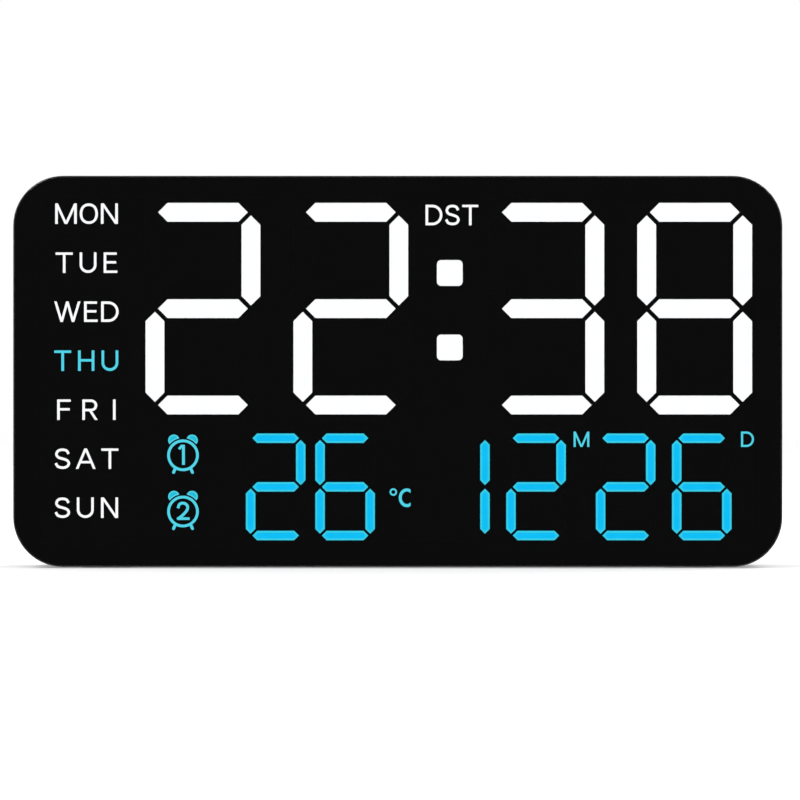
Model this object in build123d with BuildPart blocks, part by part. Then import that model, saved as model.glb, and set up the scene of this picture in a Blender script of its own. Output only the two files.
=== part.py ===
from build123d import *
import os
from math import cos, radians, sin, sqrt

os.makedirs("parts", exist_ok=True)

# Case, in millimetres: X to the right, Y to the rear, Z up, front face towards -Y
width = 205.0
height = 104.3
depth = 27.0
corner_r = 13.35
wall = 2.0
front_depth = 14.5
flange_t = 2.0
rear_edge_r = 2.0
seam_chamfer = 0.3
lip_t = 1.0
lip_gap = 0.15
lip_reach = 1.5
lip_l = 50.0
lip_share = 0.22
lip_root = 3.0

# Front stack
lens_t = 2.0
lens_edge_r = 0.6
tape_t = 0.15
tape_inset = 0.6
film_gap = 0.08
film_t = 0.2
reflector_depth = 8.0
reflector_plate_t = 1.6
well_wall = 1.2
insert_t = 2.4
insert_fit = 0.08
ledge = 0.4
board_t = 1.6
board_edge_gap = 0.5
frame_margin = 5.5
module_gap = 0.3
module_r = 5.0

# Time figures: margins and gaps across the panel, the figures take what is left
left_margin = 10.87
weekday_w = 17.13
weekday_gap = 7.28
figure_gap = 8.97
colon_left_gap = 7.78
colon_w = 6.75
colon_right_gap = 7.26
right_margin = 8.05
top_margin = 7.24
bar_t = 4.88
bar_tip_gap = 0.93
dot_r = 1.1
dot_pitch = 19.87
dot_drop = 0.42

# Small figures for temperature and date: margins and gaps, the figures take what is left
small_half_h = 12.98
small_bar_t = 2.4
small_tip_gap = 0.57
small_bottom = 7.19
row_gap = 5.21
temperature_left = 62.05
temperature_gap = 2.76
unit_room = 28.23
date_gap = 4.54
month_gap = 8.15
date_right = 13.53

# Legends beside the figures
legend_h = 5.6
legend_edge = 0.7
weekday_top = 9.95
weekday_bottom = 15.92
weekday_count = 7
saving_w = 14.4
alarm_left = 45.22
alarm_w = 8.6
alarm_h = 10.8
alarm_pitch = 15.07
unit_w = 6.0
unit_gap = 6.2
unit_drop = 2.6
letter_w = 4.0
day_letter_w = 2.6
letter_h = 4.1
letter_gap = 4.1

# Lamps on the board
lamp_l = 1.6
lamp_w = 0.8
lamp_h = 0.8
bar_lamp_count = 3
small_lamp_count = 2
lamp_spread = 0.9
legend_lamp_pitch = 5.0

# Bosses and screws
boss_r = 2.0
boss_gap = 0.2
case_screw_drop = 20.15
module_screw_z = 8.0
screw_r = 0.85
pilot_r = 0.9
screw_head_r = 1.75
screw_head_h = 1.3
screw_clear_r = 1.15
case_screw_seat = 4.5
case_screw_l = 15.0
counterbore_r = 1.9
column_r = 2.8
module_screw_l = 6.0
ear_t = 2.0
board_screw_l = 5.5
post_r = 2.3
recess_l = 2.0
recess_w = 0.5
recess_h = 0.7

# Anti-slip feet
foot_l = 14.0
foot_w = 5.0
foot_pocket = 0.7
foot_proud = 0.25
foot_inset = 24.5
front_foot_y = -6.0
rear_foot_y = 6.0
foot_fit = 0.1

# Stand leg, hinged at its top in a recess of the rear cover
leg_share = 0.293
leg_t = 4.0
hinge_drop = 43.8
tip_height = 6.5
heel = 3.5
leg_open = 30.0
leg_side_gap = 0.5
leg_rear_gap = 0.2
leg_end_gap = 0.6
heel_gap = 0.15
leg_corner_r = 4.0
leg_edge_r = 0.8
notch_r = 9.0
leg_panel_inset = 5.0
leg_panel_depth = 0.6
pin_r = 1.0
pin_fit = 0.02
pin_run = 0.05
pin_hold = 3.6
recess_wall = 1.6
ear_block_l = 3.0
ear_block_h = 5.2
tip_share = 0.67
tip_w = 2.4
tip_depth = 0.8
tip_proud = 0.4

# Push buttons and their switches
button_names = ["set", "up", "down", "alarm", "light"]
button_share = 0.078
button_drop = 18.0
button_l = 10.0
button_w = 6.4
button_gap = 0.3
button_flange = 1.2
button_flange_t = 1.0
button_rest_gap = 0.1
button_proud = 0.9
button_edge_r = 0.6
button_travel = 0.4
strip_margin = 6.0
strip_h = 13.0
strip_depth = 1.5
switch_side = 6.0
switch_h = 3.5
plunger_r = 1.75
plunger_run = 0.06
plunger_depth = 1.4
plunger_end_gap = 0.2

# Wall hangers
hanger_inset = 40.5
hanger_drop = 18.0
hanger_entry_r = 4.25
hanger_slot_w = 4.6
hanger_rise = 8.0
hanger_rim = 1.6
hanger_rim_h = 0.8

# Power socket, facing the rear in a recess
socket_inset = 40.5
socket_height = 20.0
socket_l = 8.94
socket_w = 3.26
socket_wall = 0.3
socket_fit = 0.15
socket_base = 2.5
socket_recess_l = 12.8
socket_recess_w = 7.6
socket_recess_depth = 5.2
socket_recess_r = 2.0
tongue_l = 6.7
tongue_t = 0.7
tongue_short = 1.0
pocket_floor = 1.5

# Back-up cell, its contacts and door
cell_inset = 45.5
cell_height = 26.0
cell_r = 10.0
cell_t = 3.2
cell_step_r = 8.8
cell_step = 0.35
cell_fit = 0.4
cell_top_gap = 0.2
contact_t = 0.4
contact_w = 4.0
contact_fit = 0.3
leaf_l = 6.0
door_l = 37.0
door_h = 27.0
door_t = 1.6
door_sink = 0.1
door_r = 3.0
door_gap = 0.2
door_end = 11.9
door_screw_end = 5.5
door_screw_l = 5.0
door_head_r = 1.6
door_head_h = 1.0
door_boss_r = 2.4
door_bore_gap = 0.3

# Sound holes and air slots through the rear wall
sound_hole_r = 0.8
sound_rings = [(1, 0.0), (6, 3.0), (12, 6.0)]
slot_count = 4
slot_pitch = 3.4
slot_l = 14.0
slot_w = 1.4

# Parts on the rear of the board
controller_side = 10.0
controller_h = 1.6
controller_height = 44.0
driver_l = 18.0
driver_w = 7.5
driver_h = 2.3
driver_x = 24.0
chip_edge = 0.3
crystal_r = 1.0
crystal_l = 6.0
crystal_height = 56.0
capacitor_r = 3.15
capacitor_h = 7.0
capacitor_gap = 16.0
capacitor_height = 30.0
capacitor_pitch = 8.0
buzzer_r = 6.0
buzzer_h = 8.5
buzzer_mouth_r = 1.1
buzzer_mouth = 2.0
bead_r = 1.1
bead_height = 7.5
lead_r = 0.25
lead_pitch = 1.2

# Stations along the depth
front_y = -depth / 2
rear_y = depth / 2
lens_back_y = front_y + lens_t
housing_y = lens_back_y + tape_t
flange_y = housing_y + flange_t
film_y = lens_back_y + film_gap
reflector_y = film_y + film_t
ledge_y = reflector_y + insert_t - film_t
board_y = reflector_y + reflector_depth
board_back_y = board_y + board_t
parting_y = front_y + front_depth
inner_rear_y = rear_y - wall

# Stations across the panel, measured from its centre
panel_z = foot_proud + height / 2
left = -width / 2
right = width / 2
top = height / 2
bottom = -height / 2
inner_w = width - 2 * wall
inner_h = height - 2 * wall
inner_r = corner_r - wall
boss_x = right - wall - boss_r - boss_gap
case_screw_z = top - case_screw_drop
foot_x = right - foot_inset
lip_x = lip_share * width
reflector_half_w = boss_x - boss_r - module_gap
reflector_half_h = top - frame_margin
case_points = [(i * boss_x, j * case_screw_z) for i in (-1, 1) for j in (-1, 1)]
module_points = [(i * boss_x, j * module_screw_z) for i in (-1, 1) for j in (-1, 1)]


def panel_plane(y):
    """Plane that faces the viewer at depth y, with its origin at the panel's centre."""
    return Plane(origin=(0, y, panel_z), x_dir=(1, 0, 0), z_dir=(0, -1, 0))


def bar_outline(length, thick, grow):
    """Corners of a bar with 45 degree points, moved outwards all round by grow."""
    end = length / 2 + grow * sqrt(2)
    half = thick / 2 + grow
    flat = end - half
    return [(-end, 0), (-flat, half), (flat, half), (end, 0), (flat, -half), (-flat, -half)]


def draw_bars(places, size, grow=0.0):
    """Adds the bars at the given places to the sketch in hand, level ones and upright ones."""
    cell_w, cell_h, thick, tip_gap = size
    for upright, span in ((False, cell_w), (True, cell_h)):
        points = [(p[1], p[2]) for p in places if p[0] == upright]
        if points:
            outline = bar_outline(span - 2 * tip_gap, thick, grow)
            with Locations(*points):
                Polygon(*outline, rotation=90 if upright else 0)


def bar_places(centre_x, centre_z, size, names):
    """Places of the named bars of one figure: upright or not, x and z."""
    half_w = size[0] / 2
    rise = size[1]
    table = {
        "a": (False, 0, rise),
        "b": (True, half_w, rise / 2),
        "c": (True, half_w, -rise / 2),
        "d": (False, 0, -rise),
        "e": (True, -half_w, -rise / 2),
        "f": (True, -half_w, rise / 2),
        "g": (False, 0, 0),
    }
    return [(table[n][0], centre_x + table[n][1], centre_z + table[n][2]) for n in names]


# Figures: which bars each one has and which of them are lit
all_bars = "abcdefg"
lit_bars = {"1": "bc", "2": "abdeg", "3": "abcdg", "6": "acdefg", "8": "abcdefg"}

taken = left_margin + weekday_w + weekday_gap + 2 * figure_gap + right_margin
taken = taken + colon_left_gap + colon_w + colon_right_gap
figure_w = (width - taken) / 4
row_taken = temperature_left + temperature_gap + unit_room + small_bar_t
row_taken = row_taken + 2 * date_gap + month_gap + date_right
small_cell = (width - row_taken) / 5
small_w = small_cell - small_bar_t
small_h = 2 * small_half_h + small_bar_t
figure_h = height - top_margin - row_gap - small_h - small_bottom
time_size = (figure_w - bar_t, (figure_h - bar_t) / 2, bar_t, bar_tip_gap)
small_size = (small_w, small_half_h, small_bar_t, small_tip_gap)

first_x = left + left_margin + weekday_w + weekday_gap + figure_w / 2
second_x = first_x + figure_w + figure_gap
colon_x = second_x + figure_w / 2 + colon_left_gap + colon_w / 2
third_x = colon_x + colon_w / 2 + colon_right_gap + figure_w / 2
fourth_x = third_x + figure_w + figure_gap
time_z = top - top_margin - figure_h / 2
dot_points = [(colon_x, time_z - dot_drop + s * dot_pitch / 2) for s in (1, -1)]

small_z = bottom + small_bottom + small_h / 2
tens_x = left + temperature_left + small_cell / 2
units_x = tens_x + small_cell + temperature_gap
day_units_x = right - date_right - small_cell / 2
day_tens_x = day_units_x - small_cell - date_gap
month_units_x = day_tens_x - small_cell - month_gap
month_tens_x = month_units_x - small_cell - date_gap


def figure_bars(figures, centre_z, size):
    """Lit and unlit bars of a row of figures, each given as sign, x and the bars it has."""
    lit = []
    dark = []
    for sign, x, names in figures:
        lit += bar_places(x, centre_z, size, [n for n in names if n in lit_bars[sign]])
        dark += bar_places(x, centre_z, size, [n for n in names if n not in lit_bars[sign]])
    return lit, dark


hour_figures = [("2", first_x, all_bars), ("2", second_x, all_bars)]
minute_figures = [("3", third_x, all_bars), ("8", fourth_x, all_bars)]
temperature_figures = [("2", tens_x, all_bars), ("6", units_x, all_bars)]
month_figures = [("1", month_tens_x, "bc"), ("2", month_units_x, all_bars)]
day_figures = [("2", day_tens_x, all_bars), ("6", day_units_x, all_bars)]
hour_lit, hour_dark = figure_bars(hour_figures, time_z, time_size)
minute_lit, minute_dark = figure_bars(minute_figures, time_z, time_size)
temperature_lit, temperature_dark = figure_bars(temperature_figures, small_z, small_size)
month_lit, month_dark = figure_bars(month_figures, small_z, small_size)
day_lit, day_dark = figure_bars(day_figures, small_z, small_size)
time_bars = hour_lit + hour_dark + minute_lit + minute_dark
small_bars = temperature_lit + temperature_dark + month_lit + month_dark + day_lit + day_dark

# Legends: centre, width and height of each lit field
weekday_x = left + left_margin + weekday_w / 2
weekday_pitch = (height - weekday_top - weekday_bottom) / (weekday_count - 1)
weekday_points = [(weekday_x, top - weekday_top - i * weekday_pitch) for i in range(weekday_count)]
alarm_x = left + alarm_left
alarm_z = small_z + small_half_h - alarm_h / 2 + small_bar_t / 2
unit_x = units_x + small_cell / 2 + unit_gap
month_letter_x = (month_units_x + day_tens_x) / 2
day_letter_x = day_units_x + small_cell / 2 + letter_gap
letter_z = small_z + small_half_h
saving_z = top - weekday_top
legend_fields = [
    ([(colon_x, saving_z)], saving_w, legend_h),
    ([(alarm_x, alarm_z), (alarm_x, alarm_z - alarm_pitch)], alarm_w, alarm_h),
    ([(unit_x, small_z - unit_drop)], unit_w, legend_h),
    ([(month_letter_x, letter_z)], letter_w, letter_h),
    ([(day_letter_x, letter_z)], day_letter_w, letter_h),
]


def draw_fields(fields, grow=0.0):
    """Adds the rectangles of the legend fields to the sketch in hand."""
    for points, field_w, field_h in fields:
        with Locations(*points):
            Rectangle(field_w + 2 * legend_edge + 2 * grow, field_h + 2 * legend_edge + 2 * grow)


weekday_fields = [(weekday_points, weekday_w, legend_h)]
all_fields = weekday_fields + legend_fields


def draw_windows(grow):
    """Adds every light window to the sketch in hand, moved outwards by grow."""
    draw_bars(time_bars, time_size, grow)
    draw_bars(small_bars, small_size, grow)
    with Locations(*dot_points):
        RectangleRounded(colon_w + 2 * grow, colon_w + 2 * grow, max(dot_r + grow, dot_r / 2))
    draw_fields(all_fields, grow)


# Screw posts of the display module stand in the free places between the figures
post_points = [
    (weekday_x + weekday_w / 2 + weekday_gap / 2, time_z),
    ((first_x + second_x) / 2, time_z),
    ((third_x + fourth_x) / 2, time_z),
    ((alarm_x + alarm_w / 2 + tens_x - small_cell / 2) / 2, small_z),
    ((unit_x + unit_w / 2 + month_tens_x + small_w / 2) / 2, small_z),
    ((day_units_x + small_cell / 2 + reflector_half_w - well_wall) / 2, small_z),
]


def draw_cross(points):
    """Adds the two arms of a cross recess at each point of the sketch in hand."""
    with Locations(*points):
        Rectangle(recess_l, recess_w)
        Rectangle(recess_w, recess_l)


# Front lens, edge to edge
with BuildPart() as front_lens:
    with BuildSketch(panel_plane(front_y)):
        RectangleRounded(width, height, corner_r)
    extrude(amount=-lens_t)
    fillet(front_lens.faces().sort_by(Axis.Y)[0].edges(), lens_edge_r)
front_lens.part.label = "front_lens"
export_step(front_lens.part, "parts/front_lens.step")

# Adhesive frame between lens and housing
opening_half_w = reflector_half_w + module_gap / 2
opening_half_h = reflector_half_h + module_gap
opening_r = module_r + module_gap / 2
with BuildPart() as lens_tape:
    with BuildSketch(panel_plane(lens_back_y)):
        RectangleRounded(width - 2 * tape_inset, height - 2 * tape_inset, corner_r - tape_inset)
        inset_w = 2 * opening_half_w + 2 * tape_inset
        inset_h = 2 * opening_half_h + 2 * tape_inset
        RectangleRounded(inset_w, inset_h, opening_r, mode=Mode.SUBTRACT)
    extrude(amount=-tape_t)
lens_tape.part.label = "lens_tape"
export_step(lens_tape.part, "parts/lens_tape.step")

# Front housing: flange, side wall and screw bosses
ear_seat_y = board_y - ear_t
with BuildPart() as front_housing:
    with BuildSketch(panel_plane(housing_y)):
        RectangleRounded(width, height, corner_r)
    extrude(amount=-(parting_y - housing_y))
    chamfer(front_housing.faces().sort_by(Axis.Y)[-1].edges(), seam_chamfer)
    with BuildSketch(panel_plane(flange_y)):
        RectangleRounded(inner_w, inner_h, inner_r)
    extrude(amount=-(parting_y - flange_y), mode=Mode.SUBTRACT)
    with BuildSketch(panel_plane(housing_y)):
        RectangleRounded(2 * opening_half_w, 2 * opening_half_h, opening_r)
    extrude(amount=-flange_t, mode=Mode.SUBTRACT)
    rib_l = boss_r + boss_gap + wall / 2
    for points, end_y in ((case_points, parting_y), (module_points, ear_seat_y)):
        with BuildSketch(panel_plane(flange_y - flange_t / 2)):
            with Locations(*points):
                Circle(boss_r)
            with Locations(*[(x + rib_l / 2 * (1 if x > 0 else -1), z) for x, z in points]):
                Rectangle(rib_l, boss_r)
        extrude(amount=-(end_y - flange_y + flange_t / 2))
    with BuildSketch(panel_plane(parting_y)):
        with Locations(*(case_points + module_points)):
            Circle(pilot_r)
    extrude(amount=parting_y - flange_y + flange_t / 2, mode=Mode.SUBTRACT)
    with BuildSketch(Plane.XY.offset(foot_proud)):
        with Locations((-foot_x, front_foot_y), (foot_x, front_foot_y)):
            SlotOverall(foot_l + 2 * foot_fit, foot_w + 2 * foot_fit)
    extrude(amount=foot_pocket, mode=Mode.SUBTRACT)
front_housing.part.label = "front_housing"
export_step(front_housing.part, "parts/front_housing.step")

# Mask film with a window for each bar and dot
with BuildPart() as display_mask:
    with BuildSketch(panel_plane(film_y)):
        RectangleRounded(2 * reflector_half_w, 2 * reflector_half_h, module_r)
    extrude(amount=-film_t)
    with BuildSketch(panel_plane(film_y)):
        draw_bars(time_bars, time_size, insert_fit)
        draw_bars(small_bars, small_size, insert_fit)
        with Locations(*dot_points):
            RectangleRounded(colon_w + 2 * insert_fit, colon_w + 2 * insert_fit, dot_r + insert_fit)
    extrude(amount=-film_t, mode=Mode.SUBTRACT)
display_mask.part.label = "display_mask"
export_step(display_mask.part, "parts/display_mask.step")

# Reflector: front plate, walls around the light wells, screw posts and side ears
ear_w = boss_x + boss_r - reflector_half_w + well_wall
ear_x = reflector_half_w - well_wall + ear_w / 2
with BuildPart() as light_reflector:
    with BuildSketch(panel_plane(reflector_y)):
        RectangleRounded(2 * reflector_half_w, 2 * reflector_half_h, module_r)
    extrude(amount=-reflector_plate_t)
    with BuildSketch(panel_plane(reflector_y)):
        draw_windows(well_wall)
        with Locations(*post_points):
            Circle(post_r)
        with BuildSketch(mode=Mode.PRIVATE) as rim:
            RectangleRounded(2 * reflector_half_w, 2 * reflector_half_h, module_r)
            offset(amount=-well_wall, mode=Mode.SUBTRACT)
        add(rim.sketch)
        with BuildSketch(mode=Mode.PRIVATE) as limit:
            RectangleRounded(2 * reflector_half_w, 2 * reflector_half_h, module_r)
        add(limit.sketch, mode=Mode.INTERSECT)
    extrude(amount=-reflector_depth)
    with BuildSketch(panel_plane(ear_seat_y)):
        with Locations(*[(ear_x * (1 if x > 0 else -1), z) for x, z in module_points]):
            Rectangle(ear_w, 3 * boss_r)
    extrude(amount=-ear_t)
    with BuildSketch(panel_plane(reflector_y)):
        draw_windows(insert_fit)
    extrude(amount=-(ledge_y - reflector_y), mode=Mode.SUBTRACT)
    with BuildSketch(panel_plane(ledge_y)):
        draw_windows(-ledge)
    extrude(amount=-(board_y - ledge_y), mode=Mode.SUBTRACT)
    with BuildSketch(panel_plane(board_y)):
        with Locations(*post_points):
            Circle(pilot_r)
    extrude(amount=board_screw_l, mode=Mode.SUBTRACT)
    with BuildSketch(panel_plane(board_y)):
        with Locations(*module_points):
            Circle(screw_clear_r)
    extrude(amount=ear_t, mode=Mode.SUBTRACT)
light_reflector.part.label = "light_reflector"
export_step(light_reflector.part, "parts/light_reflector.step")

# Bar diffusers, one node for each lit or unlit group
bar_groups = [
    ("hour_bars_lit", hour_lit, time_size),
    ("hour_bars_dark", hour_dark, time_size),
    ("minute_bars_lit", minute_lit, time_size),
    ("minute_bars_dark", minute_dark, time_size),
    ("temperature_bars_lit", temperature_lit, small_size),
    ("temperature_bars_dark", temperature_dark, small_size),
    ("month_bars_lit", month_lit, small_size),
    ("month_bars_dark", month_dark, small_size),
    ("day_bars_lit", day_lit, small_size),
    ("day_bars_dark", day_dark, small_size),
]
for name, places, size in bar_groups:
    with BuildPart() as bars:
        with BuildSketch(panel_plane(film_y)):
            draw_bars(places, size)
        extrude(amount=-insert_t)
    bars.part.label = name
    export_step(bars.part, f"parts/{name}.step")

# Colon diffusers
with BuildPart() as colon_dots:
    with BuildSketch(panel_plane(film_y)):
        with Locations(*dot_points):
            RectangleRounded(colon_w, colon_w, dot_r)
    extrude(amount=-insert_t)
colon_dots.part.label = "colon_dots"
export_step(colon_dots.part, "parts/colon_dots.step")

# Diffusers behind the printed words and signs
for name, fields in (("weekday_diffusers", weekday_fields), ("symbol_diffusers", legend_fields)):
    with BuildPart() as diffusers:
        with BuildSketch(panel_plane(reflector_y)):
            draw_fields(fields)
        extrude(amount=-(ledge_y - reflector_y))
    diffusers.part.label = name
    export_step(diffusers.part, f"parts/{name}.step")

# Main board
board_half_w = reflector_half_w - board_edge_gap
board_half_h = reflector_half_h - board_edge_gap
with BuildPart() as main_board:
    with BuildSketch(panel_plane(board_y)):
        RectangleRounded(2 * board_half_w, 2 * board_half_h, module_r)
        with Locations(*post_points):
            Circle(screw_clear_r, mode=Mode.SUBTRACT)
    extrude(amount=-board_t)
main_board.part.label = "main_board"
export_step(main_board.part, "parts/main_board.step")


def lamp_offsets(span, tip_gap, count):
    """Even places of the lamps along a bar, clear of the ledge at its points."""
    clear = span - 2 * tip_gap - 2 * ledge * sqrt(2) - lamp_w - lamp_l
    return [lamp_spread * clear * (i / (count - 1) - 0.5) for i in range(count)]


def bar_lamps(places, size, count):
    """Lamp places along each bar: level ones and upright ones."""
    across = lamp_offsets(size[0], size[3], count)
    along = lamp_offsets(size[1], size[3], count)
    level = [(x + d, z) for upright, x, z in places if not upright for d in across]
    standing = [(x, z + d) for upright, x, z in places if upright for d in along]
    return level, standing


# White lamps behind the time, the colon and the white words
white_level, white_standing = bar_lamps(time_bars, time_size, bar_lamp_count)
white_level += dot_points
white_level += [(x + s * legend_lamp_pitch, z) for x, z in weekday_points for s in (-1, 1)]
white_level += [(colon_x + s * legend_lamp_pitch / 2, saving_z) for s in (-1, 1)]
with BuildPart() as white_lamps:
    with BuildSketch(panel_plane(board_y)):
        with Locations(*white_level):
            Rectangle(lamp_l, lamp_w)
        with Locations(*white_standing):
            Rectangle(lamp_w, lamp_l)
    extrude(amount=lamp_h)
white_lamps.part.label = "white_lamps"
export_step(white_lamps.part, "parts/white_lamps.step")

# Blue lamps behind the small figures, the signs and the marked weekday
blue_level, blue_standing = bar_lamps(small_bars, small_size, small_lamp_count)
blue_level += weekday_points
blue_level += [p for points, field_w, field_h in legend_fields[1:] for p in points]
with BuildPart() as blue_lamps:
    with BuildSketch(panel_plane(board_y)):
        with Locations(*blue_level):
            Rectangle(lamp_l, lamp_w)
        with Locations(*blue_standing):
            Rectangle(lamp_w, lamp_l)
    extrude(amount=lamp_h)
blue_lamps.part.label = "blue_lamps"
export_step(blue_lamps.part, "parts/blue_lamps.step")

# Rear cover with its recesses, columns, hangers and openings
hinge_z = top - hinge_drop
leg_tip_z = bottom + tip_height
leg_reach = hinge_z - leg_tip_z
leg_w = leg_share * width
hinge_y = rear_y - leg_rear_gap - leg_t / 2
heel_swing = heel * sin(radians(leg_open)) + leg_t / 2 * cos(radians(leg_open))
recess_floor_y = hinge_y - heel_swing - heel_gap
recess_top_z = hinge_z + sqrt(heel**2 + leg_t**2 / 4) + leg_end_gap
recess_low_z = leg_tip_z - tip_proud - leg_end_gap
recess_half_w = leg_w / 2 + leg_side_gap
recess_mid_z = (recess_top_z + recess_low_z) / 2
recess_h_full = recess_top_z - recess_low_z
button_z = top - button_drop
button_pitch = button_share * width
button_xs = [(i - (len(button_names) - 1) / 2) * button_pitch for i in range(len(button_names))]
button_points = [(x, button_z) for x in button_xs]
strip_y = rear_y - strip_depth
strip_l = button_xs[-1] - button_xs[0] + button_l + 2 * strip_margin
hanger_x = right - hanger_inset
hanger_z = top - hanger_drop
hanger_points = [(-hanger_x, hanger_z), (hanger_x, hanger_z)]
socket_x = right - socket_inset
socket_z = bottom + socket_height
socket_floor_y = rear_y - socket_recess_depth
cell_x = left + cell_inset
cell_z = bottom + cell_height
cell_top_y = rear_y - door_t - cell_top_gap
cell_floor_y = cell_top_y - cell_t - contact_t
door_mid_x = cell_x + door_end - door_l / 2 + cell_fit
door_screw_x = door_mid_x - door_l / 2 + door_screw_end
door_point = [(door_screw_x, cell_z)]
contact_x = cell_x - cell_r - contact_t / 2
case_seat_y = rear_y - case_screw_seat
sound_point = [(hanger_x, (hanger_z + socket_z) / 2)]
slot_point = [(-hanger_x, (hanger_z + cell_z) / 2)]
with BuildPart() as rear_cover:
    with BuildSketch(panel_plane(parting_y)):
        RectangleRounded(width, height, corner_r)
    extrude(amount=-(rear_y - parting_y))
    fillet(rear_cover.faces().sort_by(Axis.Y)[-1].edges(), rear_edge_r)
    chamfer(rear_cover.faces().sort_by(Axis.Y)[0].edges(), seam_chamfer)
    with BuildSketch(panel_plane(parting_y)):
        RectangleRounded(inner_w, inner_h, inner_r)
    extrude(amount=-(inner_rear_y - parting_y), mode=Mode.SUBTRACT)
    # locating lips inside the front wall
    for start_y, end_y, edge in (
        (parting_y - lip_reach, parting_y, -lip_gap),
        (parting_y, parting_y + lip_root, wall / 2),
    ):
        thick = lip_t + lip_gap + edge
        mid = inner_h / 2 + edge - thick / 2
        with BuildSketch(panel_plane(start_y)):
            with Locations(*[(i * lip_x, j * mid) for i in (-1, 1) for j in (-1, 1)]):
                Rectangle(lip_l, thick)
        extrude(amount=-(end_y - start_y))
    # walls around the stand recess and blocks for the hinge pin
    with BuildSketch(panel_plane(recess_floor_y - recess_wall)):
        with Locations((0, recess_mid_z)):
            Rectangle(2 * recess_half_w + 2 * recess_wall, recess_h_full + 2 * recess_wall)
    extrude(amount=-(rear_y - wall / 2 - recess_floor_y + recess_wall))
    block_x = recess_half_w + recess_wall + ear_block_l / 2
    with BuildSketch(panel_plane(recess_floor_y)):
        with Locations((-block_x, hinge_z), (block_x, hinge_z)):
            Rectangle(ear_block_l + recess_wall, ear_block_h)
    extrude(amount=-(rear_y - wall / 2 - recess_floor_y))
    # pad behind the button strip
    with BuildSketch(panel_plane(strip_y - wall)):
        with Locations((0, button_z)):
            Rectangle(strip_l + 2 * wall, strip_h + 2 * wall)
    extrude(amount=-(strip_depth + wall / 2))
    # walls of the socket recess
    with BuildSketch(panel_plane(socket_floor_y - pocket_floor)):
        with Locations((socket_x, socket_z)):
            Rectangle(socket_recess_l + 2 * recess_wall, socket_recess_w + 2 * recess_wall)
    extrude(amount=-(socket_recess_depth + pocket_floor - wall / 2))
    # walls of the battery compartment and the boss of its screw
    with BuildSketch(panel_plane(cell_floor_y - pocket_floor)):
        with Locations((cell_x, cell_z)):
            Circle(cell_r + cell_fit + recess_wall)
        with Locations((contact_x, cell_z)):
            Rectangle(4 * contact_fit + contact_t + 2 * recess_wall, contact_w + 4 * recess_wall)
        with Locations(*door_point):
            Circle(door_boss_r)
    extrude(amount=-(rear_y - wall / 2 - cell_floor_y + pocket_floor))
    with BuildSketch(panel_plane(rear_y - door_t - wall)):
        with Locations((door_mid_x, cell_z)):
            Rectangle(door_l + 2 * wall, door_h + 2 * wall)
    extrude(amount=-(door_t + wall / 2))
    # columns for the case screws and rims of the hangers
    with BuildSketch(panel_plane(parting_y)):
        with Locations(*case_points):
            Circle(column_r)
        RectangleRounded(width - wall, height - wall, corner_r - wall / 2, mode=Mode.INTERSECT)
    extrude(amount=-(rear_y - wall / 2 - parting_y))
    with BuildSketch(panel_plane(inner_rear_y - hanger_rim_h)):
        with Locations(*hanger_points):
            Circle(hanger_entry_r + hanger_rim)
        with Locations(*[(x, z + hanger_rise / 2) for x, z in hanger_points]):
            Rectangle(hanger_slot_w + 2 * hanger_rim, hanger_rise)
        with Locations(*[(x, z + hanger_rise) for x, z in hanger_points]):
            Circle(hanger_slot_w / 2 + hanger_rim)
    extrude(amount=-(hanger_rim_h + wall / 2))
    # stand recess, pin holes
    with BuildSketch(panel_plane(rear_y)):
        with Locations((0, recess_mid_z)):
            RectangleRounded(2 * recess_half_w, recess_h_full, leg_corner_r)
    extrude(amount=rear_y - recess_floor_y, mode=Mode.SUBTRACT)
    pin_half = recess_half_w + pin_hold
    with BuildSketch(Plane.YZ.offset(-pin_half)):
        with Locations((hinge_y, panel_z + hinge_z)):
            Circle(pin_r + pin_fit)
    extrude(amount=2 * pin_half, mode=Mode.SUBTRACT)
    # button strip and its holes
    with BuildSketch(panel_plane(rear_y)):
        with Locations((0, button_z)):
            RectangleRounded(strip_l, strip_h, strip_h / 2 - wall)
    extrude(amount=strip_depth, mode=Mode.SUBTRACT)
    with BuildSketch(panel_plane(strip_y)):
        with Locations(*button_points):
            SlotOverall(button_l + 2 * button_gap, button_w + 2 * button_gap)
    extrude(amount=wall, mode=Mode.SUBTRACT)
    # socket recess and its mouth
    with BuildSketch(panel_plane(rear_y)):
        with Locations((socket_x, socket_z)):
            RectangleRounded(socket_recess_l, socket_recess_w, socket_recess_r)
    extrude(amount=socket_recess_depth, mode=Mode.SUBTRACT)
    with BuildSketch(panel_plane(socket_floor_y)):
        with Locations((socket_x, socket_z)):
            SlotOverall(socket_l + 2 * socket_fit, socket_w + 2 * socket_fit)
    extrude(amount=pocket_floor, mode=Mode.SUBTRACT)
    # door seat, cell pocket, contact slots and the bore for the door's screw
    with BuildSketch(panel_plane(rear_y)):
        with Locations((door_mid_x, cell_z)):
            RectangleRounded(door_l + 2 * door_gap, door_h + 2 * door_gap, door_r + door_gap)
    extrude(amount=door_t, mode=Mode.SUBTRACT)
    with BuildSketch(panel_plane(rear_y - door_t)):
        with Locations((cell_x, cell_z)):
            Circle(cell_r + cell_fit)
        with Locations((contact_x, cell_z)):
            Rectangle(2 * contact_fit + contact_t, contact_w + 2 * contact_fit)
    extrude(amount=rear_y - door_t - cell_floor_y, mode=Mode.SUBTRACT)
    with BuildSketch(panel_plane(cell_floor_y)):
        with Locations((contact_x, cell_z), (cell_x, cell_z)):
            Rectangle(2 * contact_fit + contact_t, contact_w + 2 * contact_fit)
    extrude(amount=pocket_floor, mode=Mode.SUBTRACT)
    with BuildSketch(panel_plane(rear_y - door_t)):
        with Locations(*door_point):
            Circle(screw_r + door_bore_gap)
    extrude(amount=door_screw_l, mode=Mode.SUBTRACT)
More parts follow.
